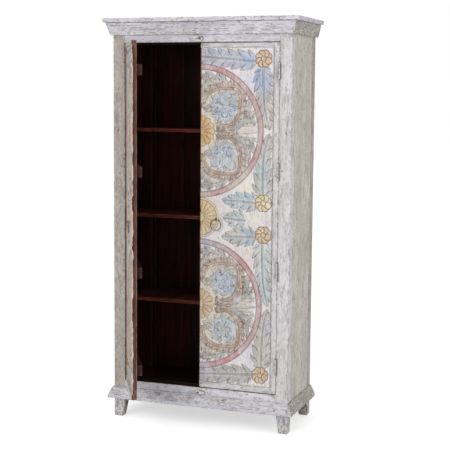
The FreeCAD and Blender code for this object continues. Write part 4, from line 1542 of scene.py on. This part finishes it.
def hinge_pins():
    """The pin through each hinge, with a round head on top and its end spread below."""
    for node in ("hinge_pins_right", "hinge_pins_left"):
        low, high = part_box(node)
        middle = (low + high) / 2
        head = high.x - low.x
        pins = []
        for bottom, top in levels(node):
            shaft = ((top + bottom) / 2, head * PIN_SHARE, top - bottom)
            for height, width, thick in ((top, head, PIN_HEAD), (bottom, head, PIN_END), shaft):
                part = cylinder("dressed_" + node, (middle.x, middle.y, height), (0, 0, 0), width, thick)
                round_creases(part, PIN_ROUND)
                pins.append(part)
        settle(finish_faces(join(pins), SCREW_IRON), node, slot="aged_iron")


def turn_button(node, body):
    """A tapered block with a round boss on its screw and a round tip."""
    low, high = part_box(node)
    boss = (high.z - low.z) / 2
    way = 1 if high.x > -low.x else -1
    reach = max(high.x, -low.x)
    tip = boss * BUTTON_TIP_SHARE
    distance = reach - tip
    lean = math.acos((boss - tip) / distance)
    height = (low.z + high.z) / 2
    ring = []
    for centre, radius, start, end in ((0, boss, lean, 2 * math.pi - lean), (distance, tip, -lean, lean)):
        for turn in np.linspace(start, end, BUTTON_CORNERS):
            ring.append((way * (centre + radius * math.cos(turn)), height + radius * math.sin(turn)))
    button = extruded("dressed_" + node, [(x, low.y, z) for x, z in ring], [(x, high.y, z) for x, z in ring])
    creases = find_creases(button)
    round_creases(button, BUTTON_ROUND)
    note_grain(button, 0, edge_distances(corner_array(button), creases))
    # The sides take the dark copy of the wash, painted shade round the button
    finish_faces(button, BUTTON_WASH, SHADED_BUTTON_SIDE, [RIGHTWARD, LEFTWARD, UP, DOWN, BACKWARD])
    settle(button, node, body=body)


# Pieces of the frame that stay as they are and only take a finish

# Stain of the inner framing, darkened further as painted shade for the deep inside of the cabinet
FRAMING_STAIN_AND_SHADE = {"light": (50, 22, 16), "dark": (25, 11, 9), "rubbed": (76, 42, 31)}
FRAME_TIMBER = {
    "X": ("floor_board", "door_stops", "back_rail_top", "back_rail_bottom"),
    "Y": ("side_rail_top_left", "side_rail_top_right", "side_rail_bottom_left", "side_rail_bottom_right",
          "shelf_cleats_lower", "shelf_cleats_middle", "shelf_cleats_upper"),
}


def finish_frame():
    for axis, nodes in FRAME_TIMBER.items():
        finish = timber("shaded_framing_along_" + axis.lower(), **FRAMING_STAIN_AND_SHADE, axis=axis)
        for node in nodes:
            finish_faces(frame["nodes"][node], finish)
    for node, piece in frame["nodes"].items():
        if "hinge_leaves" in node:
            finish_faces(piece, SHADED_HINGE_IRON if "left" in node else HINGE_IRON)
        elif "screw" in node:
            finish_faces(piece, SCREW_IRON)


# Stage, lamps and camera

def looked_at(nodes, *rays):
    """1 for the named kinds of ray, which show a surface, and 0 for those by which it only lights others."""
    kinds = nodes.add("LightPath").outputs
    share = kinds["Is Camera Ray"]
    for ray in rays:
        share = nodes.calc("MAXIMUM", share, kinds["Is " + ray + " Ray"])
    return share


def stage():
    """A pale floor that is white to the camera apart from the object's shadow."""
    floor = new_piece("floor", bpy.ops.mesh.primitive_plane_add, size=FLOOR_SIZE)
    material, nodes = new_material("pale_floor")
    sockets = material.node_tree.nodes["Principled BSDF"].inputs
    sockets["Base Color"].default_value = colour(*FLOOR_TINT)
    sockets["Roughness"].default_value = 1.0
    sockets["Specular IOR Level"].default_value = 0.0
    sockets["Emission Color"].default_value = (1, 1, 1, 1)
    nodes.plug(nodes.times(looked_at(nodes, "Glossy"), FLOOR_GLOW), sockets["Emission Strength"])
    finish_faces(floor, material)


def world():
    """Soft room light that looks plain white behind the object."""
    sky = bpy.data.worlds.new("studio")
    bpy.context.scene.world = sky
    sky.use_nodes = True
    nodes = Nodes(sky.node_tree)
    background = sky.node_tree.nodes["Background"].inputs
    background["Color"].default_value = (1, 1, 1, 1)
    seen = looked_at(nodes, "Glossy", "Transmission")
    nodes.plug(nodes.ramp(seen, 0.0, 1.0, ROOM_LIGHT, 1.0), background["Strength"])


def in_scene(name, data):
    """Puts a lamp or a camera into the scene."""
    holder = bpy.data.objects.new(name, data)
    bpy.context.scene.collection.objects.link(holder)
    return holder


def lamp(name, place, power):
    light = bpy.data.lights.new(name, "AREA")
    light.shape = "SQUARE"
    light.size = LAMP_SIZE
    light.energy = power
    holder = in_scene(name, light)
    holder.location = place
    holder.rotation_euler = (LAMP_TARGET - Vector(place)).to_track_quat("-Z", "Y").to_euler()


def camera():
    level_reach = math.cos(CAMERA_PITCH)
    forward = Vector((
        -math.sin(CAMERA_YAW) * level_reach, math.cos(CAMERA_YAW) * level_reach, -math.sin(CAMERA_PITCH)))
    level = forward.cross(Vector(UP)).normalized()
    upward = level.cross(forward)
    right = level * math.cos(CAMERA_ROLL) + upward * math.sin(CAMERA_ROLL)
    up = upward * math.cos(CAMERA_ROLL) - level * math.sin(CAMERA_ROLL)
    data = bpy.data.cameras.new("camera")
    data.lens = CAMERA_LENS
    data.sensor_width = SENSOR_WIDTH
    holder = in_scene("camera", data)
    turn = Matrix((right, up, -forward)).transposed().to_4x4()
    holder.matrix_world = Matrix.Translation(CAMERA_PLACE) @ turn
    bpy.context.scene.camera = holder


corner_posts()
front_rails()
side_planks()
back_boards()
top_board()
shelves()
mouldings("cornice", cornice_profile())
mouldings("base_moulding", base_profile())
doors()
ring_pulls()
hinge_pins()
turn_button("top_turn_button", "top_button")
turn_button("bottom_turn_button", "bottom_button")
finish_frame()

stage()
world()
for lamp_set in LAMPS:
    lamp(*lamp_set)
camera()
bpy.context.scene.view_settings.view_transform = "Standard"
